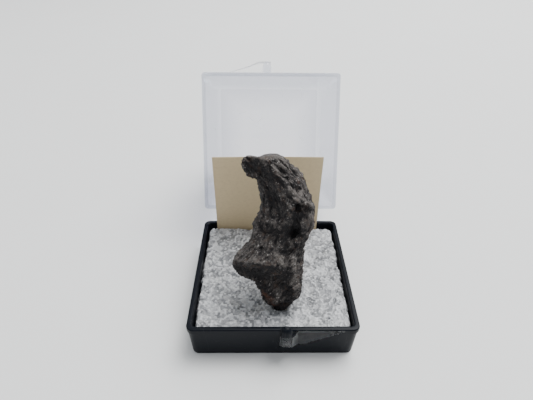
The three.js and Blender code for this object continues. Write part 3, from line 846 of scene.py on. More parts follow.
@dataclass(frozen=True)
class FloorFinish:
    """Plain pale matt paper under the object."""

    colour: Colour = (0.80, 0.805, 0.795)

    def material(self) -> bpy.types.Material:
        """The material."""
        shade = Shade("pale_floor")
        cloud = shade.noise(60.0, detail=2)
        deeper = tuple(0.97 * part for part in self.colour)
        return shade.finish(base_color=shade.blend(deeper, self.colour, cloud), roughness=0.7)


# The meteorite


@dataclass(frozen=True)
class Stretch:
    """A lump, a hollow or a stain along a line. A place is x, depth to the front and height up the lean.

    Attributes:
        name: What it is.
        start: One end of its line.
        end: The other end.
        radius: How wide it is.
        height: How far it stands out, or how strong it is.
    """

    name: str
    start: Triple
    end: Triple
    radius: float
    height: float = 1.0

    def strength(self, points: Array) -> Array:
        """Its height times a bell curve of the distance to its line."""
        start, end = (np.array([x, -front, up]) for x, front, up in (self.start, self.end))
        line = end - start
        along = np.clip((points - start) @ line / (line @ line), 0, 1)
        away = points - start - along[..., None] * line
        return self.height * np.exp(-(away**2).sum(axis=-1) / (2 * self.radius**2))


@dataclass(frozen=True)
class Face:
    """A flat face of the meteorite's front or back.

    Attributes:
        name: What it is.
        depth: How far it stands out at its middle.
        x: Its middle's place.
        up: Its middle's height up the lean.
        slope_x: How much further it stands out for each millimetre to the right.
        slope_up: The same for each millimetre up.
    """

    name: str
    depth: float
    x: float
    up: float
    slope_x: float
    slope_up: float

    def at(self, x: Array, up: Array) -> Array:
        """How far it stands out at places."""
        return self.depth + self.slope_x * (x - self.x) + self.slope_up * (up - self.up)


@dataclass(frozen=True)
class Meteorite:
    """The iron meteorite: a curved horn of metal on a narrow foot, leaning back.

    Its own frame has x to the right, y to the back and z up the lean, from the foot.

    Attributes:
        foot: Where the foot's frame stands in the box.
        lean_degrees: How far it leans back.
        left_edge: Pairs of height up the lean and x.
        right_edge: The same for the right edge.
        tip_depth: Pairs of height up the lean and the most that it stands out there.
        horn: The faces of the front of the upper part.
        ledge: The faces of the ledge over the deep groove.
        heel: The faces of the front of the lump at its left foot.
        foot_front: The faces of the foot's front.
        back: The faces of the back.
        crease: How wide the rounding between two faces is.
        section_power: How square its sections are; 2 is an oval.
        relief: Its large lumps and hollows.
        lumps: Wavelength and height of its smaller waves.
        streak_length: How much its small facets are drawn out along the horn, from 0 to 1.
        streak_bend: How strongly the streaks follow the horn's curve.
        bend_up: The height of the horn's bend.
        bend_width: How far above and below it the curve grows straight.
        painted_light_towards: The way that the faces with the most painted light look: up the lean, towards
            the light.
        stains: Where rust shows.
        rubbed_and_lit: Where the iron is smooth, and also painted paler, as painted light where these faces
            catch the light.
        rings: Levels of the fine mesh.
        around: Places round each level.
    """

    foot: Triple = (2.33, -15.52, 11.0)
    lean_degrees: float = 24
    left_edge: Pairs = (
        (-1.6, -0.4), (-1.4, -1.6), (-0.1, -2.2), (1.7, -2.8), (2.2, -4.7), (3.6, -5.8), (5.6, -6.4),
        (7.6, -7.5), (9.3, -8.4), (10.5, -11.4), (12.3, -14.0), (14.9, -15.5), (16.7, -14.8), (19.0, -13.4),
        (21.6, -10.4), (23.3, -9.2), (29.3, -8.1), (31.6, -6.8), (34.2, -6.0), (38.6, -6.8), (42.0, -7.6),
        (42.9, -8.9), (43.3, -10.4), (44.3, -10.9), (46.3, -11.9), (47.8, -11.9), (49.2, -11.0),
        (49.55, -10.4), (49.7, -4.0),
    )
    right_edge: Pairs = (
        (-1.6, -0.4), (-1.3, 1.0), (0.3, 3.4), (2.7, 4.8), (6.0, 6.5), (9.0, 7.0), (17.5, 7.5), (20.6, 7.2),
        (24.4, 8.3), (26.5, 9.0), (28.8, 10.0), (32.0, 10.5), (35.6, 9.6), (38.9, 8.5), (42.5, 7.1),
        (45.1, 5.2), (46.8, 3.1), (48.6, 0.4), (49.4, -1.0), (49.65, -2.4), (49.7, -4.0),
    )
    tip_depth: Pairs = (
        (-1.6, 0), (-1.2, 1.6), (0.5, 3.2), (3.0, 5.0), (6.0, 14), (46.5, 14), (48.8, 4.2), (49.5, 1.8),
        (49.7, 0),
    )
    horn: tuple[Face, ...] = (
        Face("left face", 7.0, 1.4, 41.5, 0.42, 0.0),
        Face("crown", 7.0, 1.4, 41.5, -0.22, -0.50),
        Face("right band", 7.0, 1.4, 41.5, -0.50, -0.35),
    )
    ledge: tuple[Face, ...] = (
        Face("pale facet", 8.4, 5.2, 35.8, -0.25, -0.58),
        Face("drop under the facet", 8.4, 5.2, 35.8, 0.95, 2.4),
        Face("facet's left side", 8.4, 3.6, 37.0, 1.4, 0.5),
    )
    heel: tuple[Face, ...] = (
        Face("heel top", 10.0, -7.0, 17.6, -0.08, -0.72),
        Face("heel underside", 10.0, -7.0, 17.6, 0.07, 0.80),
        Face("right flank", 9.4, 2.6, 15.0, -0.75, 0.05),
        Face("left flank", 9.6, -9.0, 17.6, 0.45, 0.0),
    )
    foot_front: tuple[Face, ...] = (
        Face("foot's front", 3.2, 0.0, 2.0, 0.0, 0.34),
        Face("foot's shoulder", 5.9, 0.0, 10.0, 0.0, -0.5),
    )
    back: tuple[Face, ...] = (
        Face("back plate", 6.6, 0.0, 27.0, 0.10, 0.02),
        Face("back, upper slope", 6.2, 0.0, 40.0, -0.20, -0.45),
        Face("back, lower slope", 6.2, 0.0, 14.0, 0.15, 0.36),
        Face("back, right slope", 7.2, 4.0, 26.0, -0.60, -0.10),
        Face("back, left slope", 6.8, -6.0, 24.0, 0.50, 0.12),
    )
    crease: float = 0.7
    section_power: float = 2.7
    relief: tuple[Stretch, ...] = (
        Stretch("hollow in the beak's face", (-9.2, 3, 46.2), (-5.5, 5, 44), 1.5, -0.7),
        Stretch("dip behind the beak", (-7.6, 2, 49.9), (-6.8, -3, 49.5), 1.0, -0.6),
        Stretch("crown's bump", (-3.4, 2, 50.0), (-1.8, -1, 49.8), 1.5, 0.7),
        Stretch("first cut across the crown", (-2.2, 6, 46.4), (1.0, 5.5, 45.0), 0.5, -0.7),
        Stretch("second cut", (0.2, 6.5, 44.4), (3.6, 5.5, 42.8), 0.45, -0.7),
        Stretch("third cut", (2.6, 6.8, 41.6), (5.6, 5.5, 40.0), 0.55, -0.8),
        Stretch("hollow under the beak", (-7.0, 4, 42.5), (-5.5, 6, 40), 1.7, -0.8),
        Stretch("groove, upper end", (5.5, 6.8, 34.6), (4.7, 7, 31.0), 1.1, -2.8),
        Stretch("groove, middle", (4.7, 7, 31.0), (3.4, 7.5, 26), 1.2, -2.4),
        Stretch("groove, lower end", (3.4, 7.5, 26), (2.3, 8.5, 20.8), 1.0, -1.6),
        Stretch("lip left of the groove", (3.0, 7.2, 34.3), (1.8, 7.2, 29.5), 1.0, 0.9),
        Stretch("left face hollow", (-2.6, 6, 38), (-2.4, 6, 33), 1.9, -0.7),
        Stretch("body ridge", (-7.5, 4, 30.5), (-3, 6, 29), 1.3, 0.6),
        Stretch("body hollow", (-7, 4.5, 26.8), (-2, 6, 25.4), 1.5, -0.6),
        Stretch("heel top hollow", (-9.5, 7.5, 21), (-5.5, 8.5, 20), 1.4, -0.5),
        Stretch("heel notch", (-4.0, 9, 17.5), (-2.8, 9.5, 15.5), 0.9, -0.8),
        Stretch("second crest", (-2.2, 9.2, 16.6), (1.5, 9, 16.6), 1.0, 0.6),
        Stretch("heel's crest", (-14.0, 4, 16.8), (-8.5, 9, 18.0), 0.7, 0.8),
        Stretch("under the heel's crest", (-13.0, 5, 14.2), (-6, 9, 14.8), 1.2, -1.1),
        Stretch("under the heel", (-9, 6.5, 12.2), (-4, 7, 10.5), 1.8, -0.9),
        Stretch("hollow above the foot", (1.2, 6, 9.5), (2.4, 5, 6), 1.9, -1.1),
        Stretch("right flank edge", (3.2, 8.2, 19.5), (3.6, 7.5, 9), 0.9, 0.9),
        Stretch("flank groove", (2.1, 9, 20.5), (2.0, 8.5, 11.5), 0.8, -1.3),
        Stretch("right edge notch", (8.6, 2, 24.5), (8, 3, 21.5), 1.8, -0.6),
        Stretch("right rusty bump", (8.4, 4, 29), (7.4, 5, 27), 1.5, 0.8),
        Stretch("bank right of the groove", (8.4, 6, 34.6), (8.6, 5.5, 29.5), 1.3, 0.9),
        Stretch("back hollow, upper", (-2, -7, 38), (3, -7, 33), 3.0, -1.5),
        Stretch("back hollow, lower", (-7, -6, 18), (2, -7, 20), 2.8, -1.4),
        Stretch("back ridge", (5, -6, 30), (-4, -7, 26), 1.6, 1.1),
        Stretch("back foot hollow", (0, -5, 8), (2, -4, 5), 2.2, -0.9),
    )
    lumps: Pairs = ((6.5, 0.25), (3.1, 0.15))
    streak_length: float = 0.5
    streak_bend: float = 9.0
    bend_up: float = 31
    bend_width: float = 10
    painted_light_towards: Triple = (0.0, -0.25, 0.97)
    stains: tuple[Stretch, ...] = (
        Stretch("rust on the foot", (-4.7, 3, 5.4), (-1.8, 4, 4.2), 1.3, 1.1),
        Stretch("rust under the foot", (-1.4, 3, 2.8), (1.4, 3, 2.2), 1.1, 1.0),
        Stretch("rusty right edge", (8.9, 4, 30.5), (7.6, 4.5, 26.8), 1.6),
        Stretch("rusty pit", (5.0, 5, 43.6), (5.6, 5, 42.6), 1.0),
        Stretch("brown right flank", (6.6, 4, 22), (6.2, 4, 9), 1.6, 0.55),
        Stretch("brown upper left", (-2.5, 6, 44), (-0.5, 6.5, 41), 1.5, 0.5),
        Stretch("rust on the back", (3, -6, 22), (-2, -6, 30), 3.0, 0.7),
    )
    # Smooth patches whose colour is also painted lighter: painted highlights on faces that catch the light.
    rubbed_and_lit: tuple[Stretch, ...] = (
        Stretch("pale facet", (3.6, 7.6, 38.6), (6.2, 7.2, 36.6), 1.4, 0.6),
        Stretch("right band", (8.0, 5.5, 37.5), (8.8, 5.5, 30), 1.2, 0.25),
        Stretch("right flank", (5.0, 7.0, 21), (4.6, 6.5, 9), 1.1, 0.60),
    )
    rings: int = 288
    around: int = 328

    def levels(self) -> Array:
        """Heights up the lean for the rings, spaced evenly along whichever edge runs furthest."""
        low, high = self.left_edge[0][0], self.left_edge[-1][0]
        height = np.linspace(low, high, 2001)
        edges = (self.left_edge, self.right_edge)
        steps = np.max([np.abs(np.diff(follow(edge, height))) for edge in edges], axis=0)
        length = np.concatenate([[0], np.cumsum(np.hypot(steps, height[1] - height[0]))])
        return np.interp(length[-1] * np.arange(1, self.rings) / self.rings, length, height)

    def form(self) -> Array:
        """Its plain form: at each level a rounded four-cornered oval between its edges and depths.

        Returns:
            Places by ring, by place round it and by x, y, z.
        """
        height = self.levels()[:, None]
        angle = 2 * np.pi * np.arange(self.around) / self.around
        left, right = follow(self.left_edge, height), follow(self.right_edge, height)
        bent = [np.sign(v) * np.abs(v) ** (2 / self.section_power) for v in (np.cos(angle), np.sin(angle))]
        x = (left + right) / 2 + (right - left) / 2 * bent[0]
        y = bent[1] * np.where(bent[1] > 0, self.back_at(x, height), self.front_at(x, height))
        return np.stack([x, y, np.broadcast_to(height, x.shape)], axis=-1)

    def front_at(self, x: Array, up: Array) -> Array:
        """How far the front stands out: the furthest of the horn's, heel's, foot's and ledge's faces."""
        horn, ledge, heel, foot = (
            eased_least([face.at(x, up) for face in faces], self.crease)
            for faces in (self.horn, self.ledge, self.heel, self.foot_front)
        )
        whole = np.maximum(-eased_least([-horn, -heel, -foot], 2 * self.crease), ledge)
        return np.maximum(eased_least([whole, follow(self.tip_depth, up) + 0 * x], self.crease), 0)

    def back_at(self, x: Array, up: Array) -> Array:
        """How far the back stands out: the least of its faces and of what the tips allow."""
        faces = [face.at(x, up) for face in self.back]
        return np.maximum(eased_least([*faces, follow(self.tip_depth, up) + 0 * x], 1.5 * self.crease), 0)

    def wavy(self, points: Array) -> Array:
        """The height of its smaller waves: for each wavelength, three sines that a slow sine bends."""
        x, y, z = np.moveaxis(points, -1, 0)
        total = 0
        for wavelength, height in self.lumps:
            k = 2 * np.pi / wavelength
            warp = np.sin(0.43 * k * (x + z)) + np.sin(0.37 * k * (y - z) + 1.3)
            waves = np.sin(k * (0.81 * x + 0.52 * z) + warp) + np.sin(k * (0.74 * y - 0.61 * x) + 2.1 * warp)
            waves += np.sin(k * (0.88 * z - 0.45 * y) + 4.2 - warp)
            total = total + height * waves / 3
        return total

    def streaked(self, points: Array) -> Array:
        """Space pressed together along the horn, so that patterns made in it are drawn out along the horn.

        x is taken from a hyperbola that is furthest right at the horn's bend, and the height is shrunk.

        Args:
            points: Places whose last axis is x, y, z.

        Returns:
            Where the patterns are looked up.
        """
        x, y, up = np.moveaxis(points, -1, 0)
        curve = -self.streak_bend * (np.hypot(1, (up - self.bend_up) / self.bend_width) - 1)
        return np.stack([x - curve, y, (1 - self.streak_length) * up], axis=-1)

    def surface(self) -> Surface:
        """The fine surface: the plain form, its relief, broken facets of three sizes, pits and a fine grain.

        The relief moves each place along the form's normal. The facets, the pits, which are small deep cups
        at a few scattered dots, the gullies, which are grooves where a noise crosses zero, and the grain,
        which is noise, are then added along the new normal. Places that look up the lean get painted light,
        and the height value darkens the hollows, which in the large hollows is painted shade.

        Returns:
            The surface, with its height, its painted light value and its rust.
        """
        rings = self.form()
        relief = sum(stretch.strength(rings) for stretch in self.relief)
        rings = rings + grid_normals(rings) * (relief + self.wavy(rings))[..., None]
        bent = drifted(rings, 3.5, 20, 0.8)
        streaked = self.streaked(bent)
        broad = facets(bent, 4.6, 31, 0.10, 0.35)
        middle = facets(streaked, 1.9, 47, 0.24, 0.2)
        fine = facets(streaked, 0.85, 59, 0.5, 0.25)
        pit_near, _, pit_number = cell_pattern(bent, 1.7, 63)
        pits = -0.45 * (pit_number > 0.66) * (1 - ease(pit_near, 0.05, 0.34))
        gullies = -0.24 * (1 - 5 * np.abs(smooth_noise(streaked, 2.0, 83))).clip(0)
        grain = 0.08 * layered_noise(rings, 0.6, 71)
        tips = ease(rings[..., 2], -1.6, 0.5) * (1 - ease(rings[..., 2], 48.8, 49.7))
        rubbed_and_lit = sum(stretch.strength(rings) for stretch in self.rubbed_and_lit)
        fade = tips * (1 - 0.5 * ease(rubbed_and_lit, 0.3, 0.9))
        broken = middle + fine + pits + gullies
        detail = (broad + middle + fine + pits + gullies + grain) * fade
        normals = grid_normals(rings)
        done = rings + normals * detail[..., None]
        # Faces that look up the lean, and the smooth lit patches, are painted lighter: painted light from
        # above, with painted shade on the undersides.
        upward = 0.5 * (normals + grid_normals(done)) @ np.array(self.painted_light_towards)
        values = {
            # Lower in pits, gullies and large hollows and higher on raised facets, so these are darker and
            # lighter in colour; in the large hollows, such as the groove, the darkening is painted shade.
            "height": 0.5 + 1.2 * fade * broken + 0.5 * broad + 0.26 * relief,
            "worn": ease(upward, -0.35, 0.95) + 0.7 * rubbed_and_lit,
            "rust": sum(stain.strength(rings) for stain in self.stains),
        }
        return skin(done, values)

    def placed(self) -> Surface:
        """The fine surface as it stands in the box."""
        return self.surface().placed(about_x(-self.lean_degrees), np.array(self.foot))

    def build(self) -> Surface:
        """Makes the piece.

        Returns:
            Its surface in the box, which the foam yields to.
        """
        surface = self.placed()
        add_piece(surface, "meteorite_fine", Body.TRAY, Slot.IRON, IronFinish().material(), ["meteorite"])
        return surface


# The foam bed


@dataclass(frozen=True)
class FoamBed:
    """The foam block that fills the tray, cut across its cells.

    Attributes:
        half: Half its width.
        front: Its front edge.
        rear: Its rear edge, in front of the card.
        bottom: Its underside.
        top: The mean level of its top.
        swell: How much the top heaves.
        rear_rise: How much higher the top is along the card.
        squareness: How square its corners are.
        taper: How much narrower it is at the bottom, as a share.
        columns: Places across the top, and rows down it.
        cell: The size of its cells.
    """

    half: float = 25.1
    front: float = -25.1
    rear: float = 23.7
    bottom: float = 1.65
    top: float = 10.9
    swell: float = 0.3
    rear_rise: float = 1.0
    squareness: float = 22
    taper: float = 0.035
    columns: int = 290
    cell: float = 1.6

    def plan(self) -> tuple[Array, Array]:
        """Where the top's places lie seen from above, and how near each is to the edge.

        A square grid is pulled in at its corners, and its edge wanders in and out with noise, which is read
        along a circle about as large as the block.

        Returns:
            The places as x and y, and 0 at the middle to 1 at the edge.
        """
        circle = 24
        u, v = np.meshgrid(np.linspace(-1, 1, self.columns), np.linspace(-1, 1, self.columns))
        reach = np.maximum(np.abs(u), np.abs(v))
        power = self.squareness
        long = (np.abs(u) ** power + np.abs(v) ** power) ** (1 / power) / np.maximum(reach, 1e-9)
        angle = np.arctan2(v, u)
        edge_place = np.stack([np.cos(angle), np.sin(angle), np.zeros_like(u)], axis=-1) * circle
        ragged = 0.007 + 0.013 * layered_noise(edge_place, 1.6, 5)
        scale = 1 - (1 - 1 / long) * reach**6 - ragged * reach**8
        x = self.half * u * scale
        y = (self.rear + self.front) / 2 + (self.rear - self.front) / 2 * v * scale
        return np.stack([x, y], axis=-1), reach

    def yielded(self, plan: Array, height: Array, stone: Surface) -> Array:
        """The top's height where the meteorite's foot presses it down.

        The lowest of the meteorite's points over each small square of a lattice is found, widened by one
        square each way, and the top stays under it.

        Args:
            plan: Where the top's places lie.
            height: Their heights.
            stone: The meteorite as it stands.

        Returns:
            The lowered heights.
        """
        square, over, clearance = 0.35, 3.0, 0.08
        near = stone.points[stone.points[:, 2] < self.top + over]
        corner = near[:, :2].min(axis=0) - 3 * square
        shape = np.ceil((near[:, :2].max(axis=0) - corner) / square).astype(int) + 4
        lowest = np.full(shape, self.top + over)
        index = ((near[:, :2] - corner) / square).astype(int)
        np.minimum.at(lowest, (index[:, 0], index[:, 1]), near[:, 2])
        for axis in (0, 1):
            lowest = np.minimum(np.minimum(lowest, np.roll(lowest, 1, axis)), np.roll(lowest, -1, axis))
        spot = np.clip(((plan - corner) / square).astype(int), 0, shape - 1)
        inside = ((plan > corner) & (plan < corner + (shape - 1) * square)).all(axis=-1)
        ceiling = np.where(inside, lowest[spot[..., 0], spot[..., 1]], self.top + over)
        return np.minimum(height, ceiling - clearance)

    def surface(self, stone: Surface) -> Surface:
        """The block: a cut top of open cells, rough sides and a flat underside.

        The top's height is a heave, which is a product of sines and a slanting sine, and a rise to the rear,
        plus a thin raised wall where two cells meet, tallest where a noise makes a wisp of it, less a cup
        inside each cell, plus a step for each cell. Smaller cells add only walls.

        Args:
            stone: The meteorite as it stands.

        Returns:
            The surface, with its tone.
        """
        plan, reach = self.plan()
        x, y = plan[..., 0], plan[..., 1]
        heave = np.sin(0.31 * x + 0.9) * np.sin(0.27 * y) + 0.5 * np.sin(0.55 * x - 0.48 * y)
        flat = np.stack([x, y, np.zeros_like(x)], axis=-1)
        bent = drifted(flat, 1.6, 80, 0.5)
        near, second, number = cell_pattern(bent, self.cell, 91)
        wall = np.exp(-(((second - near) / 0.30) ** 2))
        small_near, small_second, small_number = cell_pattern(bent, 0.48 * self.cell, 97)
        small_wall = np.exp(-(((small_second - small_near) / 0.22) ** 2))
        wisp = ease(smooth_noise(flat, 0.7, 105), -0.1, 0.6)
        tall = 0.12 * (number - 0.5) + (0.06 + 0.3 * wisp) * wall - 0.10 * (0.75 - near).clip(0)
        tall += 0.05 * wisp * small_wall + 0.2 * layered_noise(flat, 3.2, 101)
        height = self.top + self.swell * heave + self.rear_rise * ease(y, 2.0, 20.0) + tall - 0.15
        height -= 1.1 * ease(reach, 0.965, 1.0) ** 2
        height = self.yielded(plan, height, stone)
        top = np.concatenate([plan, height[..., None]], axis=-1)
        # A random tone for each cell, plus painted highlights: lighter along the cell walls and at the wisps,
        # where the walls glisten.
        tone = 0.02 + 0.50 * number + (0.06 + 0.35 * wisp) * wall + 0.75 * small_wall * wisp**2
        tone = tone + 0.14 * small_number + 0.14 * layered_noise(flat, 3.5, 107)
        return self.block(top, tone)

    def block(self, top: Array, tone: Array) -> Surface:
        """Closes the top with sides and an underside.

        The sides are the top's border carried down in loops that wander with noise.

        Args:
            top: Places by row, by column and by x, y, z.
            tone: How light each place is.

        Returns:
            The surface.
        """
        rows, columns = top.shape[:2]
        border = grid_border(rows, columns)
        loop = top.reshape(-1, 3)[border]
        loops = []
        for part in np.linspace(0.12, 1, 9):
            ring = loop.copy()
            ring[:, 2] = loop[:, 2] + (self.bottom - loop[:, 2]) * part
            wander = layered_noise(ring, 1.6, 111, layers=2)
            outward = 1 + 0.006 * wander - self.taper * part - 0.012 * (part > 0.99)
            ring[:, :2] = ring[:, :2] * outward[:, None]
            loops.append(ring)
        around = len(border)
        count = rows * columns
        inner = np.concatenate([border, count + np.arange(around * len(loops))]).reshape(-1, around)
        upper, lower = inner[:-1], inner[1:]
        side = np.stack([np.roll(upper, -1, 1), upper, lower, np.roll(lower, -1, 1)], axis=-1).reshape(-1, 4)
        centre = count + around * len(loops)
        last = inner[-1]
        under = np.stack([np.roll(last, -1), last, np.full(around, centre)], axis=-1)
        points = np.concatenate([top.reshape(-1, 3), *loops, loops[-1].mean(axis=0, keepdims=True)])
        tones = np.concatenate([tone.ravel(), np.full(around * len(loops) + 1, 0.3)])
        return Surface(points, [np.concatenate([grid_quads(rows, columns, wrap_columns=False), side]), under],
                       {"tone": tones})

    def build(self, stone: Surface) -> None:
        """Makes the piece."""
        surface = self.surface(stone)
        piece = add_piece(surface, "foam_block", Body.TRAY, Slot.FOAM, FoamFinish().material(), ["foam_bed"])


# The box


@dataclass(frozen=True)
class Nub:
    """A thumb nub: a tongue that stands out to the front, thin at one end and round at the other.

    Attributes:
        x: Its middle.
        bottom: Its lower end when the box is closed.
        length: How tall it is.
        reach: How far it stands out.
        round_up: Whether its round end is the upper one.
        width: How wide it is.
        off_wall: How far it stands off the wall that it passes.
        flatness: How full its section is.
        taper: From its thin end, part of the length with parts of the width and of the reach.
    """

    x: float
    bottom: float
    length: float
    reach: float
    round_up: bool
    width: float = 3.3
    off_wall: float = 0.4
    flatness: float = 0.35
    taper: tuple[Triple, ...] = (
        (0, 0.45, 0.3), (0.07, 0.65, 0.38), (0.22, 0.88, 0.58), (0.42, 1, 0.82), (0.66, 1, 1),
    )

    def surface(self, front: float) -> Surface:
        """The tongue. Its width and reach follow the taper, then a quarter round; its section is a half oval.

        Args:
            front: The wall's place along y.

        Returns:
            The surface.
        """
        half = self.width / 2
        straight = np.linspace(0, self.taper[-1][0], 24)
        widths = follow(tuple((up, width) for up, width, _ in self.taper), straight)
        outs = follow(tuple((up, out) for up, _, out in self.taper), straight)
        turn = np.linspace(0, np.pi / 2, 14)
        up = np.concatenate([straight * self.length, self.length - half * (1 - np.sin(turn))])
        width = np.concatenate([widths, np.maximum(np.cos(turn), 0.2)]) * half
        out = np.concatenate([outs, 0.45 + 0.55 * np.cos(turn)]) * self.reach
        if not self.round_up:
            up, width, out = self.length - up[::-1], width[::-1], out[::-1]
        angle = np.pi * (1 + np.linspace(0, 1, 25))
        bulge = self.flatness - (1 - self.flatness) * np.sin(angle)
        x = width[:, None] * np.cos(angle)
        y = -(self.off_wall + (out[:, None] - self.off_wall) * bulge)
        flat_back = width[:, None] * np.linspace(1, -1, 7)
        x = np.concatenate([x, flat_back], axis=1)
        y = np.concatenate([y, np.full(flat_back.shape, -self.off_wall)], axis=1)
        z = np.broadcast_to(up[:, None], x.shape)
        return skin(np.stack([self.x + x, front + y, self.bottom + z], axis=-1))

    def root(self, front: float, depth: float, low: float, high: float) -> Surface:
        """The rib that joins the tongue to its wall.

        Args:
            front: The wall's place along y.
            depth: How far into the wall it reaches; less than nothing stops short of the wall.
            low: Its lower end.
            high: Its upper end.

        Returns:
            The surface.
        """
        half = self.width * 0.3
        y0, y1 = front - self.off_wall - 0.05, front + depth
        outline = np.array([[y0, low], [y1, low], [y1, high], [y0, high]])
        return prism(outline, self.x - half, self.x + half, 0.05)


@dataclass(frozen=True)
class Hinge:
    """The hinge behind the rear wall: round knuckles of the lid on pins between ears of the tray.

    Attributes:
        y: The axis' place along y.
        z: Its height.
        spread: How far each half of the hinge is from the middle.
        eye_radius: The knuckle's outer radius.
        pin_radius: The pin's radius.
        gap: The running gap.
        knuckle_width: The knuckle's length along the axis.
        ear_thickness: The ear's thickness.
        bevel: How much the edges are eased.
    """

    y: float
    z: float
    spread: float = 12.5
    eye_radius: float = 1.9
    pin_radius: float = 0.8
    gap: float = 0.35
    knuckle_width: float = 4.0
    ear_thickness: float = 1.4
    bevel: float = 0.12

    def ear(self, x0: float, wall: float, rim: float) -> Surface:
        """One ear: a tab from the rear wall to a round eye.

        Args:
            x0: Its lower end along x.
            wall: The rear wall's place along y.
            rim: The rim's height.

        Returns:
            The surface.
        """
        angle = np.linspace(-np.pi / 3, np.pi, 29)
        arc = circle_points((self.y, self.z), self.eye_radius, angle)
        near = self.y - self.eye_radius
        tab = [[near, rim - 0.2], [wall - 0.3, rim - 0.9], [wall - 0.3, rim - 4.6]]
        return prism(np.concatenate([arc, tab]), x0, x0 + self.ear_thickness, self.bevel)

    def pin(self, x0: float, x1: float) -> Surface:
        """One pin along the axis."""
        angle = np.linspace(0, 2 * np.pi, 32, endpoint=False)
        return prism(circle_points((self.y, self.z), self.pin_radius, angle), x0, x1, 0.05)

    def tray_side(self, wall: float, rim: float) -> Surface:
        """The four ears and two pins."""
        made = []
        inner = self.knuckle_width / 2 + self.gap
        for middle in (-self.spread, self.spread):
            ends = (middle - inner - self.ear_thickness, middle + inner)
            made += [self.ear(x0, wall, rim) for x0 in ends]
            made.append(self.pin(middle - inner - 0.4, middle + inner + 0.4))
        return joined(made)

    def lid_side(self, wall: float) -> Surface:
        """The two knuckles as the box is closed: a bored eye with an arm that stops just short of the wall.

        The outer line is, at each angle, the larger of the eye's radius and the distance to the arm's edge.

        Args:
            wall: The rear wall's place along y.

        Returns:
            The surface.
        """
        angle = np.linspace(0, 2 * np.pi, 128, endpoint=False)
        c, s = np.cos(angle), np.sin(angle)
        to_wall = (self.y - wall - 0.02) / np.maximum(-c, 1e-6)
        to_side = np.where(s > 0, self.eye_radius - 0.3, 0.8) / np.maximum(np.abs(s), 1e-6)
        arm = np.where(c < 0, np.minimum(to_wall, to_side), 0)
        outer = np.maximum(self.eye_radius, arm)
        bore = np.full(len(angle), self.pin_radius + self.gap)
        made = []
        for middle in (-self.spread, self.spread):
            x0, x1 = middle - self.knuckle_width / 2, middle + self.knuckle_width / 2
            b = self.bevel
            path = [(x0, outer - b), (x0 + b, outer), (x1 - b, outer), (x1, outer - b)]
            path += [(x1, bore + b), (x1 - b, bore), (x0 + b, bore), (x0, bore + b)]
            rings = [np.stack([np.full(len(c), x), self.y + r * c, self.z + r * s], -1) for x, r in path]
            made.append(looped(np.stack(rings)))
        return joined(made)


@dataclass(frozen=True)
class Tray:
    """The black tray: a shallow square dish with a raised band along its rim.

    Attributes:
        side: Its outer width at the rim.
        height: Its height.
        draft: How far each wall leans in at the bottom.
        wall: Its wall's thickness.
        floor: Its floor's thickness.
        cavity_draft: How far the inside leans in at the floor.
        corner_radius: The radius of its upright corners.
        band_height: How tall the rim's band is.
        band_step: How far the band stands out.
        foot_radius: The rounding round its underside.
        lip_radius: The rounding of its rim.
        fillet: The rounding inside, round its floor.
    """

    side: float = 54
    height: float = 13
    draft: float = 0.65
    wall: float = 1.6
    floor: float = 1.6
    cavity_draft: float = 0.8
    corner_radius: float = 2.2
    band_height: float = 1.8
    band_step: float = 0.2
    foot_radius: float = 0.3
    lip_radius: float = 0.35
    fillet: float = 0.6

    def half_at(self, z: Array | float) -> Array | float:
        """Half the outer width at a height, without the band."""
        return self.side / 2 - self.band_step - self.draft * (1 - z / self.height)

    def levels(self) -> Array:
        """The profile from the middle of the underside, out, up, over the rim and down inside.

        Returns:
            Rows of height, half the side and corner radius.
        """
        half, radius, lip = self.side / 2, self.corner_radius, self.lip_radius
        band = self.height - self.band_height
        mouth = half - self.wall
        foot = quarter_round((0, self.half_at(0)), (self.foot_radius, -self.foot_radius), radius, False)
        band_foot = [(band - self.band_step, self.half_at(band), radius), (band, half - 0.03, radius)]
        outer_lip = quarter_round((self.height, half), (-lip, -lip), radius, True)
        inner_lip = quarter_round((self.height, mouth), (-lip, lip), 1.4, False)
        bottom = (self.floor, mouth - self.cavity_draft)
        fillet = quarter_round(bottom, (self.fillet, -self.fillet), 1.3, True)
        start, end = [(0, 0.5, 0.4), (0, 12, 2)], [(self.floor, 12, 1), (self.floor, 0.5, 0.4)]
        return np.array(start + foot + band_foot + outer_lip + inner_lip + fillet + end)

    def build(self, finish: bpy.types.Material, nub: Nub, hinge: Hinge) -> None:
        """Makes the shell, its thumb nub and its half of the hinge."""
        front = -self.side / 2
        shell = skin(SquareLoop().rings(self.levels()))
        add_piece(shell, "tray_shell", Body.TRAY, Slot.BLACK_PLASTIC, finish, ["tray"], 40)
        tongue = joined([nub.surface(front), nub.root(front, 1.0, nub.bottom + 0.2, self.height - 0.2)])
        add_piece(tongue, "tray_nub", Body.TRAY, Slot.BLACK_PLASTIC, finish, sharp_degrees=50)
        ears = hinge.tray_side(-front, self.height)
        add_piece(ears, "hinge_ears", Body.TRAY, Slot.BLACK_PLASTIC, finish, sharp_degrees=40)


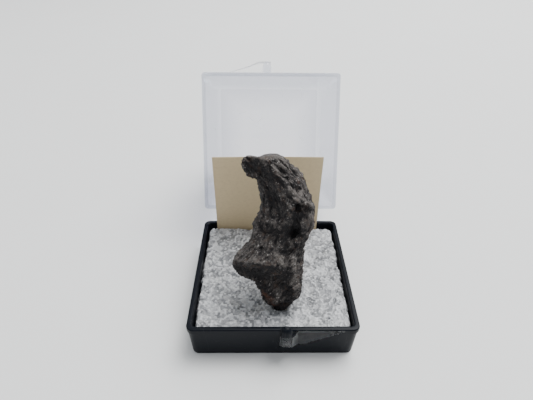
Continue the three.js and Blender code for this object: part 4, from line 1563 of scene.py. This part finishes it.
@dataclass(frozen=True)
class Lid:
    """The clear lid, worked out as it lies when the box is closed and then turned open.

    Attributes:
        side: Its width at the mouth.
        mouth: The height of its mouth.
        top: The height of its top plate's outside.
        draft: How far its front and rear walls lean in over its height.
        side_draft: The same for its side walls.
        draft_from: The height from which its walls lean in.
        draft_height: The height over which they lean in by as much.
        wall: Its wall's thickness.
        edge: The radius of its top plate's edge.
        lip_radius: The rounding of its mouth.
        fillet: The rounding inside, round its ceiling.
        corner_radius: The radius of its upright corners.
        inner_radius: The same inside.
    """

    side: float = 54
    mouth: float = 13.1
    top: float = 60.85
    draft: float = 2.0
    side_draft: float = 1.5
    draft_from: float = 13
    draft_height: float = 47.9
    wall: float = 1.4
    edge: float = 0.5
    lip_radius: float = 0.15
    fillet: float = 0.4
    corner_radius: float = 1.2
    inner_radius: float = 0.9

    def half_at(self, z: float, draft: float) -> float:
        """Half the outer width at a height."""
        return self.side / 2 - draft * (z - self.draft_from) / self.draft_height

    def levels(self) -> Array:
        """The profile from the middle of the ceiling, out, down inside, over the mouth, up and in on top.

        Returns:
            Rows of height, half the side along y, corner radius and half the side along x.
        """
        ceiling, half, lip = self.top - self.wall, self.side / 2, self.lip_radius
        inner, outer = self.inner_radius, self.corner_radius
        columns = []
        for draft in (self.draft, self.side_draft):
            inside, end = self.half_at(ceiling, draft) - self.wall, self.half_at(self.top, draft)
            fillet = quarter_round((ceiling, inside), (-self.fillet, -self.fillet), inner, False)
            inner_mouth = quarter_round((self.mouth, half - self.wall), (lip, lip), inner, True)
            outer_mouth = quarter_round((self.mouth, half), (lip, -lip), outer, False)
            top_edge = quarter_round((self.top, end), (-self.edge, -self.edge), outer, True, 0.5)
            start = [(ceiling, 0.5, 0.4), (ceiling, 12, 0.8)]
            close = [(self.top, 12, 1), (self.top, 0.5, 0.4)]
            columns.append(np.array(start + fillet + inner_mouth + outer_mouth + top_edge + close))
        return np.column_stack([columns[0], columns[1][:, 1]])

    def edges(self, rings: Array) -> Array:
        """Where the shell is painted darker, as painted shade for its edge lines: at its mouth, fading up the
        walls, and at the ceiling's corners.

        Args:
            rings: The shell's places as the box is closed.

        Returns:
            A number from 0 to 1 for each place.
        """
        z = rings[..., 2]
        ceiling = self.top - self.wall
        out = np.abs(rings[..., :2]).max(axis=-1)
        corner = (z > ceiling - 0.5) & (z < ceiling + 0.01) & (out > 0.4 * self.side)
        walls = np.where(z < self.mouth + 0.2, 1.0, np.where(z < self.mouth + 1, 0.35, 0.0))
        return np.maximum(walls, corner)

    def build(self, finish: bpy.types.Material, nub: Nub, hinge: Hinge, opened: "Opening") -> None:
        """Makes the shell, its thumb nub and its half of the hinge, and turns them open."""
        front = -self.side / 2
        rings = SquareLoop().rings(self.levels())
        shell = opened.turned(skin(rings, {"edge": self.edges(rings)}))
        add_piece(shell, "lid_shell", Body.LID, Slot.CLEAR_PLASTIC, finish, ["lid"], 40)
        rib = nub.root(front, -0.02, self.mouth + 0.2, nub.bottom + nub.length - 0.6)
        tongue = opened.turned(joined([nub.surface(front), rib]))
        add_piece(tongue, "lid_nub", Body.LID, Slot.CLEAR_PLASTIC, finish, sharp_degrees=50)
        knuckles = opened.turned(hinge.lid_side(-front))
        add_piece(knuckles, "lid_knuckles", Body.LID, Slot.CLEAR_PLASTIC, finish, sharp_degrees=40)


@dataclass(frozen=True)
class Opening:
    """How the lid lies open: turned back about the hinge's axis.

    Attributes:
        axis: The axis' place as y and z.
        degrees: How far it is turned.
    """

    axis: tuple[float, float]
    degrees: float

    @classmethod
    def from_joint(cls, joint: dict) -> "Opening":
        """The opening that undoes the joint's whole range."""
        y, z = (value / MM for value in joint["pos_m"][1:])
        return cls((y, z), joint["range_deg"][1])

    def turned(self, surface: Surface) -> Surface:
        """A surface of the closed lid as it lies open."""
        turn = about_x(-self.degrees)
        pivot = np.array([0, *self.axis])
        return surface.placed(turn, pivot - turn @ pivot)


@dataclass(frozen=True)
class Card:
    """The paper card on edge behind the foam, leaning a little forward and hardly bowed.

    Attributes:
        width: Its width.
        thickness: Its thickness.
        bottom: Its lower edge's height.
        top: Its upper edge's height.
        x: Its middle.
        y_at_rim: Its place along y at the rim's height.
        rim: The rim's height.
        lean_degrees: How far it leans forward.
        turn_degrees: How far it is turned.
        bow: How far its middle bows back.
    """

    width: float = 40.6
    thickness: float = 0.4
    bottom: float = 6
    top: float = 45.0
    x: float = -1.4
    y_at_rim: float = 24.35
    rim: float = 13
    lean_degrees: float = 1.5
    turn_degrees: float = 0.4
    bow: float = 0.25

    def surface(self) -> Surface:
        """A thin sheet whose bow is a parabola across its width, its edges thinned by a rounded quarter."""
        u, v = np.meshgrid(np.linspace(-1, 1, 61), np.linspace(-1, 1, 57))
        height = self.top - self.bottom
        wave = 0.05 * smooth_noise(np.stack([u * 2.1, v * 1.7, 0 * u], -1), 1.0, 3)
        back = self.bow * (1 - u**2) * 0.5 * (1 + v) + wave
        rim = np.maximum(np.abs(u) * self.width / 2 - (self.width / 2 - 0.2), 0) ** 2
        rim = rim + np.maximum(np.abs(v) * height / 2 - (height / 2 - 0.2), 0) ** 2
        half = self.thickness / 2 * np.sqrt(np.maximum(1 - rim / 0.06, 0.2))
        front_side = np.stack([u * self.width / 2, back - half, v * height / 2], axis=-1)
        rear_side = np.stack([u * self.width / 2, back + half, v * height / 2], axis=-1)
        lean, turn = np.radians(self.lean_degrees), np.radians(self.turn_degrees)
        spin = np.array([[np.cos(turn), -np.sin(turn), 0], [np.sin(turn), np.cos(turn), 0], [0, 0, 1]])
        middle = (self.top + self.bottom) / 2
        place = np.array([self.x, self.y_at_rim - (middle - self.rim) * np.tan(lean), middle])
        return sheet(front_side, rear_side).placed(about_x(self.lean_degrees) @ spin, place)

    def build(self) -> None:
        """Makes the piece."""
        add_piece(self.surface(), "paper_card", Body.TRAY, Slot.CARD, PaperFinish().material(), ["card"], 40)


@dataclass(frozen=True)
class Film:
    """A torn piece of thin clear film on the front wall, with its length along x.

    Attributes:
        start: Its left end.
        end: Its right end.
        low: Pairs of x and the height of its lower edge.
        high: The same for its upper edge.
        lift: Pairs of x and how far it stands off the wall.
        haze: Pairs of x and how hazed it is.
        thickness: Its thickness.
        wrinkle: The height of its wrinkles.
    """

    start: float
    end: float
    low: Pairs
    high: Pairs
    lift: Pairs
    haze: Pairs
    thickness: float = 0.07
    wrinkle: float = 0.08

    def surface(self, out: Callable[[Array, Array], Array], seed: int) -> Surface:
        """The sheet: straight between its two edges at each x, a distance out from the wall, with wrinkles.

        Args:
            out: A function of x and height that gives the distance in front of y = 0.
            seed: Which pattern of wrinkles.

        Returns:
            The surface.
        """
        columns, rows = 150, 60
        along = np.linspace(self.start, self.end, columns)
        part = np.linspace(0, 1, rows)[:, None]
        x = np.broadcast_to(along, (rows, columns))
        low, high = follow(self.low, along), follow(self.high, along)
        torn = 0.18 * layered_noise(np.stack([along, 0 * along, 0 * along], -1), 1.7, seed)
        z = low + torn + (high - low - torn) * part
        place = np.stack([0.6 * x, 0 * x, 1.3 * z], axis=-1)
        crease = np.abs(layered_noise(place, 2.6, seed + 9))
        y = -(out(x, z) + self.wrinkle * crease)
        outer = np.stack([x, y - self.thickness, z], axis=-1)
        haze = np.broadcast_to(follow(self.haze, along), x.shape)
        return sheet(outer, np.stack([x, y, z], axis=-1), {"haze": haze})


@dataclass(frozen=True)
class TornTape:
    """The clear film that held the box shut, torn in two: a piece over each thumb nub.

    Attributes:
        gap: How far it stands off the plastic.
        nub_fade: Pairs of height and how much of its lift the piece on the tray has there.
        sharp_degrees: Edges that turn by more than this stay sharp.
    """

    gap: float = 0.12
    nub_fade: Pairs = ((5.5, 0.45), (9.0, 0.82), (11.5, 1.0), (13.0, 1.0))
    sharp_degrees: float = 60

    def on_tray(self, tray: Tray) -> Surface:
        """The piece on the tray: off the wall, and further out over the nub."""
        rim = tray.height
        film = Film(
            start=2.0,
            end=22.0,
            low=((2.0, 7.4), (5.6, 6.6), (8.6, 6.1), (15.3, 8.9), (22.0, 12.2)),
            high=((2.0, rim - 0.3), (22.0, rim - 0.3)),
            lift=((2.0, 1.8), (3.0, 2.5), (4.6, 2.6), (5.8, 2.2), (9.2, -1.5), (22.0, -1.5)),
            haze=((2.0, 1.0), (2.4, 0.0), (5.4, 0.0), (6.0, 1.0), (12.0, 0.9), (22.0, 0.4)),
        )

        def out(x: Array, z: Array) -> Array:
            """How far it is in front of the middle."""
            wall = tray.half_at(z) + tray.band_step + self.gap
            lifted = tray.side / 2 + self.gap + follow(film.lift, x) * follow(self.nub_fade, z)
            return np.maximum(wall, lifted)

        return film.surface(out, 131)

    def on_lid(self, tray: Tray) -> Surface:
        """The piece on the lid, as the box is closed."""
        rim = tray.height
        film = Film(
            start=-16.0,
            end=-0.2,
            low=((-16.0, rim + 0.3), (-0.2, rim + 0.3)),
            high=((-16.0, rim + 1.6), (-9.0, rim + 3.6), (-3.4, rim + 6.0), (-0.2, rim + 6.4)),
            lift=((-16.0, self.gap), (-9.5, 2.0), (-3.8, 3.95), (-0.2, 3.95)),
            haze=((-16.0, 0.7), (-0.2, 0.7)),
        )
        return film.surface(lambda x, z: tray.side / 2 + follow(film.lift, x), 151)

    def build(self, tray: Tray, opened: Opening) -> None:
        """Makes both pieces, and turns the lid's open."""
        finish, sharp = FilmFinish().material(), self.sharp_degrees
        add_piece(self.on_tray(tray), "film_on_tray", Body.TRAY, Slot.FILM, finish, ["tape_on_tray"], sharp)
        lid_film = opened.turned(self.on_lid(tray))
        add_piece(lid_film, "film_on_lid", Body.LID, Slot.FILM, finish, ["tape_on_lid"], sharp)


# The studio


@dataclass(frozen=True)
class Studio:
    """A pale floor, soft light from above and behind, and the camera.

    Attributes:
        lens: The camera's focal length for a 36 mm wide sensor.
        camera: Where the camera stands.
        yaw: How far it looks to the right, in degrees.
        pitch: How far it looks down.
        roll: How far it is tilted.
        sky: The colour of the light from all round.
        sky_towards: Where that light is brightest.
        sky_dim: Its strength on the far side from there.
        sky_bright: Its strength at its brightest.
        key_place: Where the soft light hangs, in metres.
        key_size: Its side.
        key_watts: Its power.
    """

    lens: float = 27.12
    camera: Triple = (-3.9, -103.7, 116.7)
    yaw: float = 0.97
    pitch: float = 35.5
    roll: float = -0.69
    sky: Colour = (0.93, 0.96, 1.0)
    sky_towards: Triple = (0.1, 0.55, 0.83)
    sky_dim: float = 0.42
    sky_bright: float = 0.80
    key_place: Triple = (0.56, 0.52, 1.56)
    key_size: float = 1.2
    key_watts: float = 52.0

    def add_camera(self) -> None:
        """Makes the camera, looking as the angles say."""
        yaw, pitch, roll = np.radians([self.yaw, self.pitch, self.roll])
        forward = np.array([np.sin(yaw) * np.cos(pitch), np.cos(yaw) * np.cos(pitch), -np.sin(pitch)])
        right = np.array([np.cos(yaw), -np.sin(yaw), 0])
        down = np.cross(forward, right)
        across = np.cos(roll) * right + np.sin(roll) * down
        below = np.cos(roll) * down - np.sin(roll) * right
        data = bpy.data.cameras.new("camera")
        data.lens = self.lens
        data.sensor_width = 36
        data.clip_start = 0.005
        camera = bpy.data.objects.new("camera", data)
        columns = np.stack([across, -below, -forward], axis=1)
        place = Matrix.Translation([value * MM for value in self.camera])
        camera.matrix_world = place @ Matrix(columns.tolist()).to_4x4()
        bpy.context.scene.collection.objects.link(camera)
        bpy.context.scene.camera = camera

    def add_floor(self) -> None:
        """A floor just under the object, in metres, that rises behind it in one smooth sweep: a parabola."""
        rows, columns = 90, 30
        half, front, back = 1.6, -1.5, 2.1
        flat_to, rise, under = 0.78, 1.4, 0.00004
        y = np.linspace(front, back, rows)[:, None]
        z = rise * ((y - flat_to).clip(0) / (back - flat_to)) ** 2 - under
        x = np.linspace(-half, half, columns)[None, :]
        points = np.stack(np.broadcast_arrays(x, y, z), axis=-1).reshape(-1, 3)
        mesh = bpy.data.meshes.new("floor")
        mesh.from_pydata(points.tolist(), [], grid_quads(rows, columns, wrap_columns=False).tolist())
        mesh.polygons.foreach_set("use_smooth", np.ones(len(mesh.polygons), bool))
        mesh.materials.append(FloorFinish().material())
        floor = bpy.data.objects.new("floor", mesh)
        bpy.context.scene.collection.objects.link(floor)

    def add_light(self) -> None:
        """Makes the soft square light, facing the object."""
        data = bpy.data.lights.new("soft_key", "AREA")
        data.shape = "SQUARE"
        data.size = self.key_size
        data.energy = self.key_watts
        light = bpy.data.objects.new("soft_key", data)
        place = Matrix.Translation(self.key_place)
        light.matrix_world = place @ place.translation.to_track_quat("Z", "Y").to_matrix().to_4x4()
        bpy.context.scene.collection.objects.link(light)

    def add_sky(self) -> None:
        """Makes the light from all round: dim in front of the object and brighter above and behind it."""
        world = bpy.data.worlds.new("studio")
        world.use_nodes = True
        tree = world.node_tree
        background = tree.nodes["Background"]
        background.inputs["Color"].default_value = (*self.sky, 1.0)
        direction = tree.nodes.new("ShaderNodeTexCoord")
        towards = tree.nodes.new("ShaderNodeVectorMath")
        towards.operation = "DOT_PRODUCT"
        towards.inputs[1].default_value = self.sky_towards
        strength = tree.nodes.new("ShaderNodeMapRange")
        strength.interpolation_type = "SMOOTHSTEP"
        limits = {"From Min": -0.6, "From Max": 0.9, "To Min": self.sky_dim, "To Max": self.sky_bright}
        for name, value in limits.items():
            strength.inputs[name].default_value = value
        tree.links.new(direction.outputs["Generated"], towards.inputs[0])
        tree.links.new(towards.outputs["Value"], strength.inputs["Value"])
        tree.links.new(strength.outputs["Result"], background.inputs["Strength"])
        bpy.context.scene.world = world

    def build(self) -> None:
        """Makes the studio."""
        self.add_camera()
        self.add_floor()
        self.add_light()
        self.add_sky()


def main() -> None:
    """Builds the studio, the box and the meteorite, in that order."""
    logging.basicConfig(level=logging.INFO, format="%(name)s: %(message)s")
    Studio().build()
    tray = Tray()
    lid = Lid()
    opened = Opening.from_joint(frame["joints"][0])
    hinge = Hinge(*opened.axis)
    black, clear = BlackPlasticFinish().material(), ClearPlasticFinish().material()
    tray.build(black, Nub(x=4.0, bottom=6.2, length=9.4, reach=2.4, round_up=True), hinge)
    lid.build(clear, Nub(x=-1.7, bottom=10.6, length=9.0, reach=3.8, round_up=False), hinge, opened)
    Card().build()
    stone = Meteorite().build()
    FoamBed().build(stone)
    TornTape().build(tray, opened)


if __name__ == "__main__":
    main()
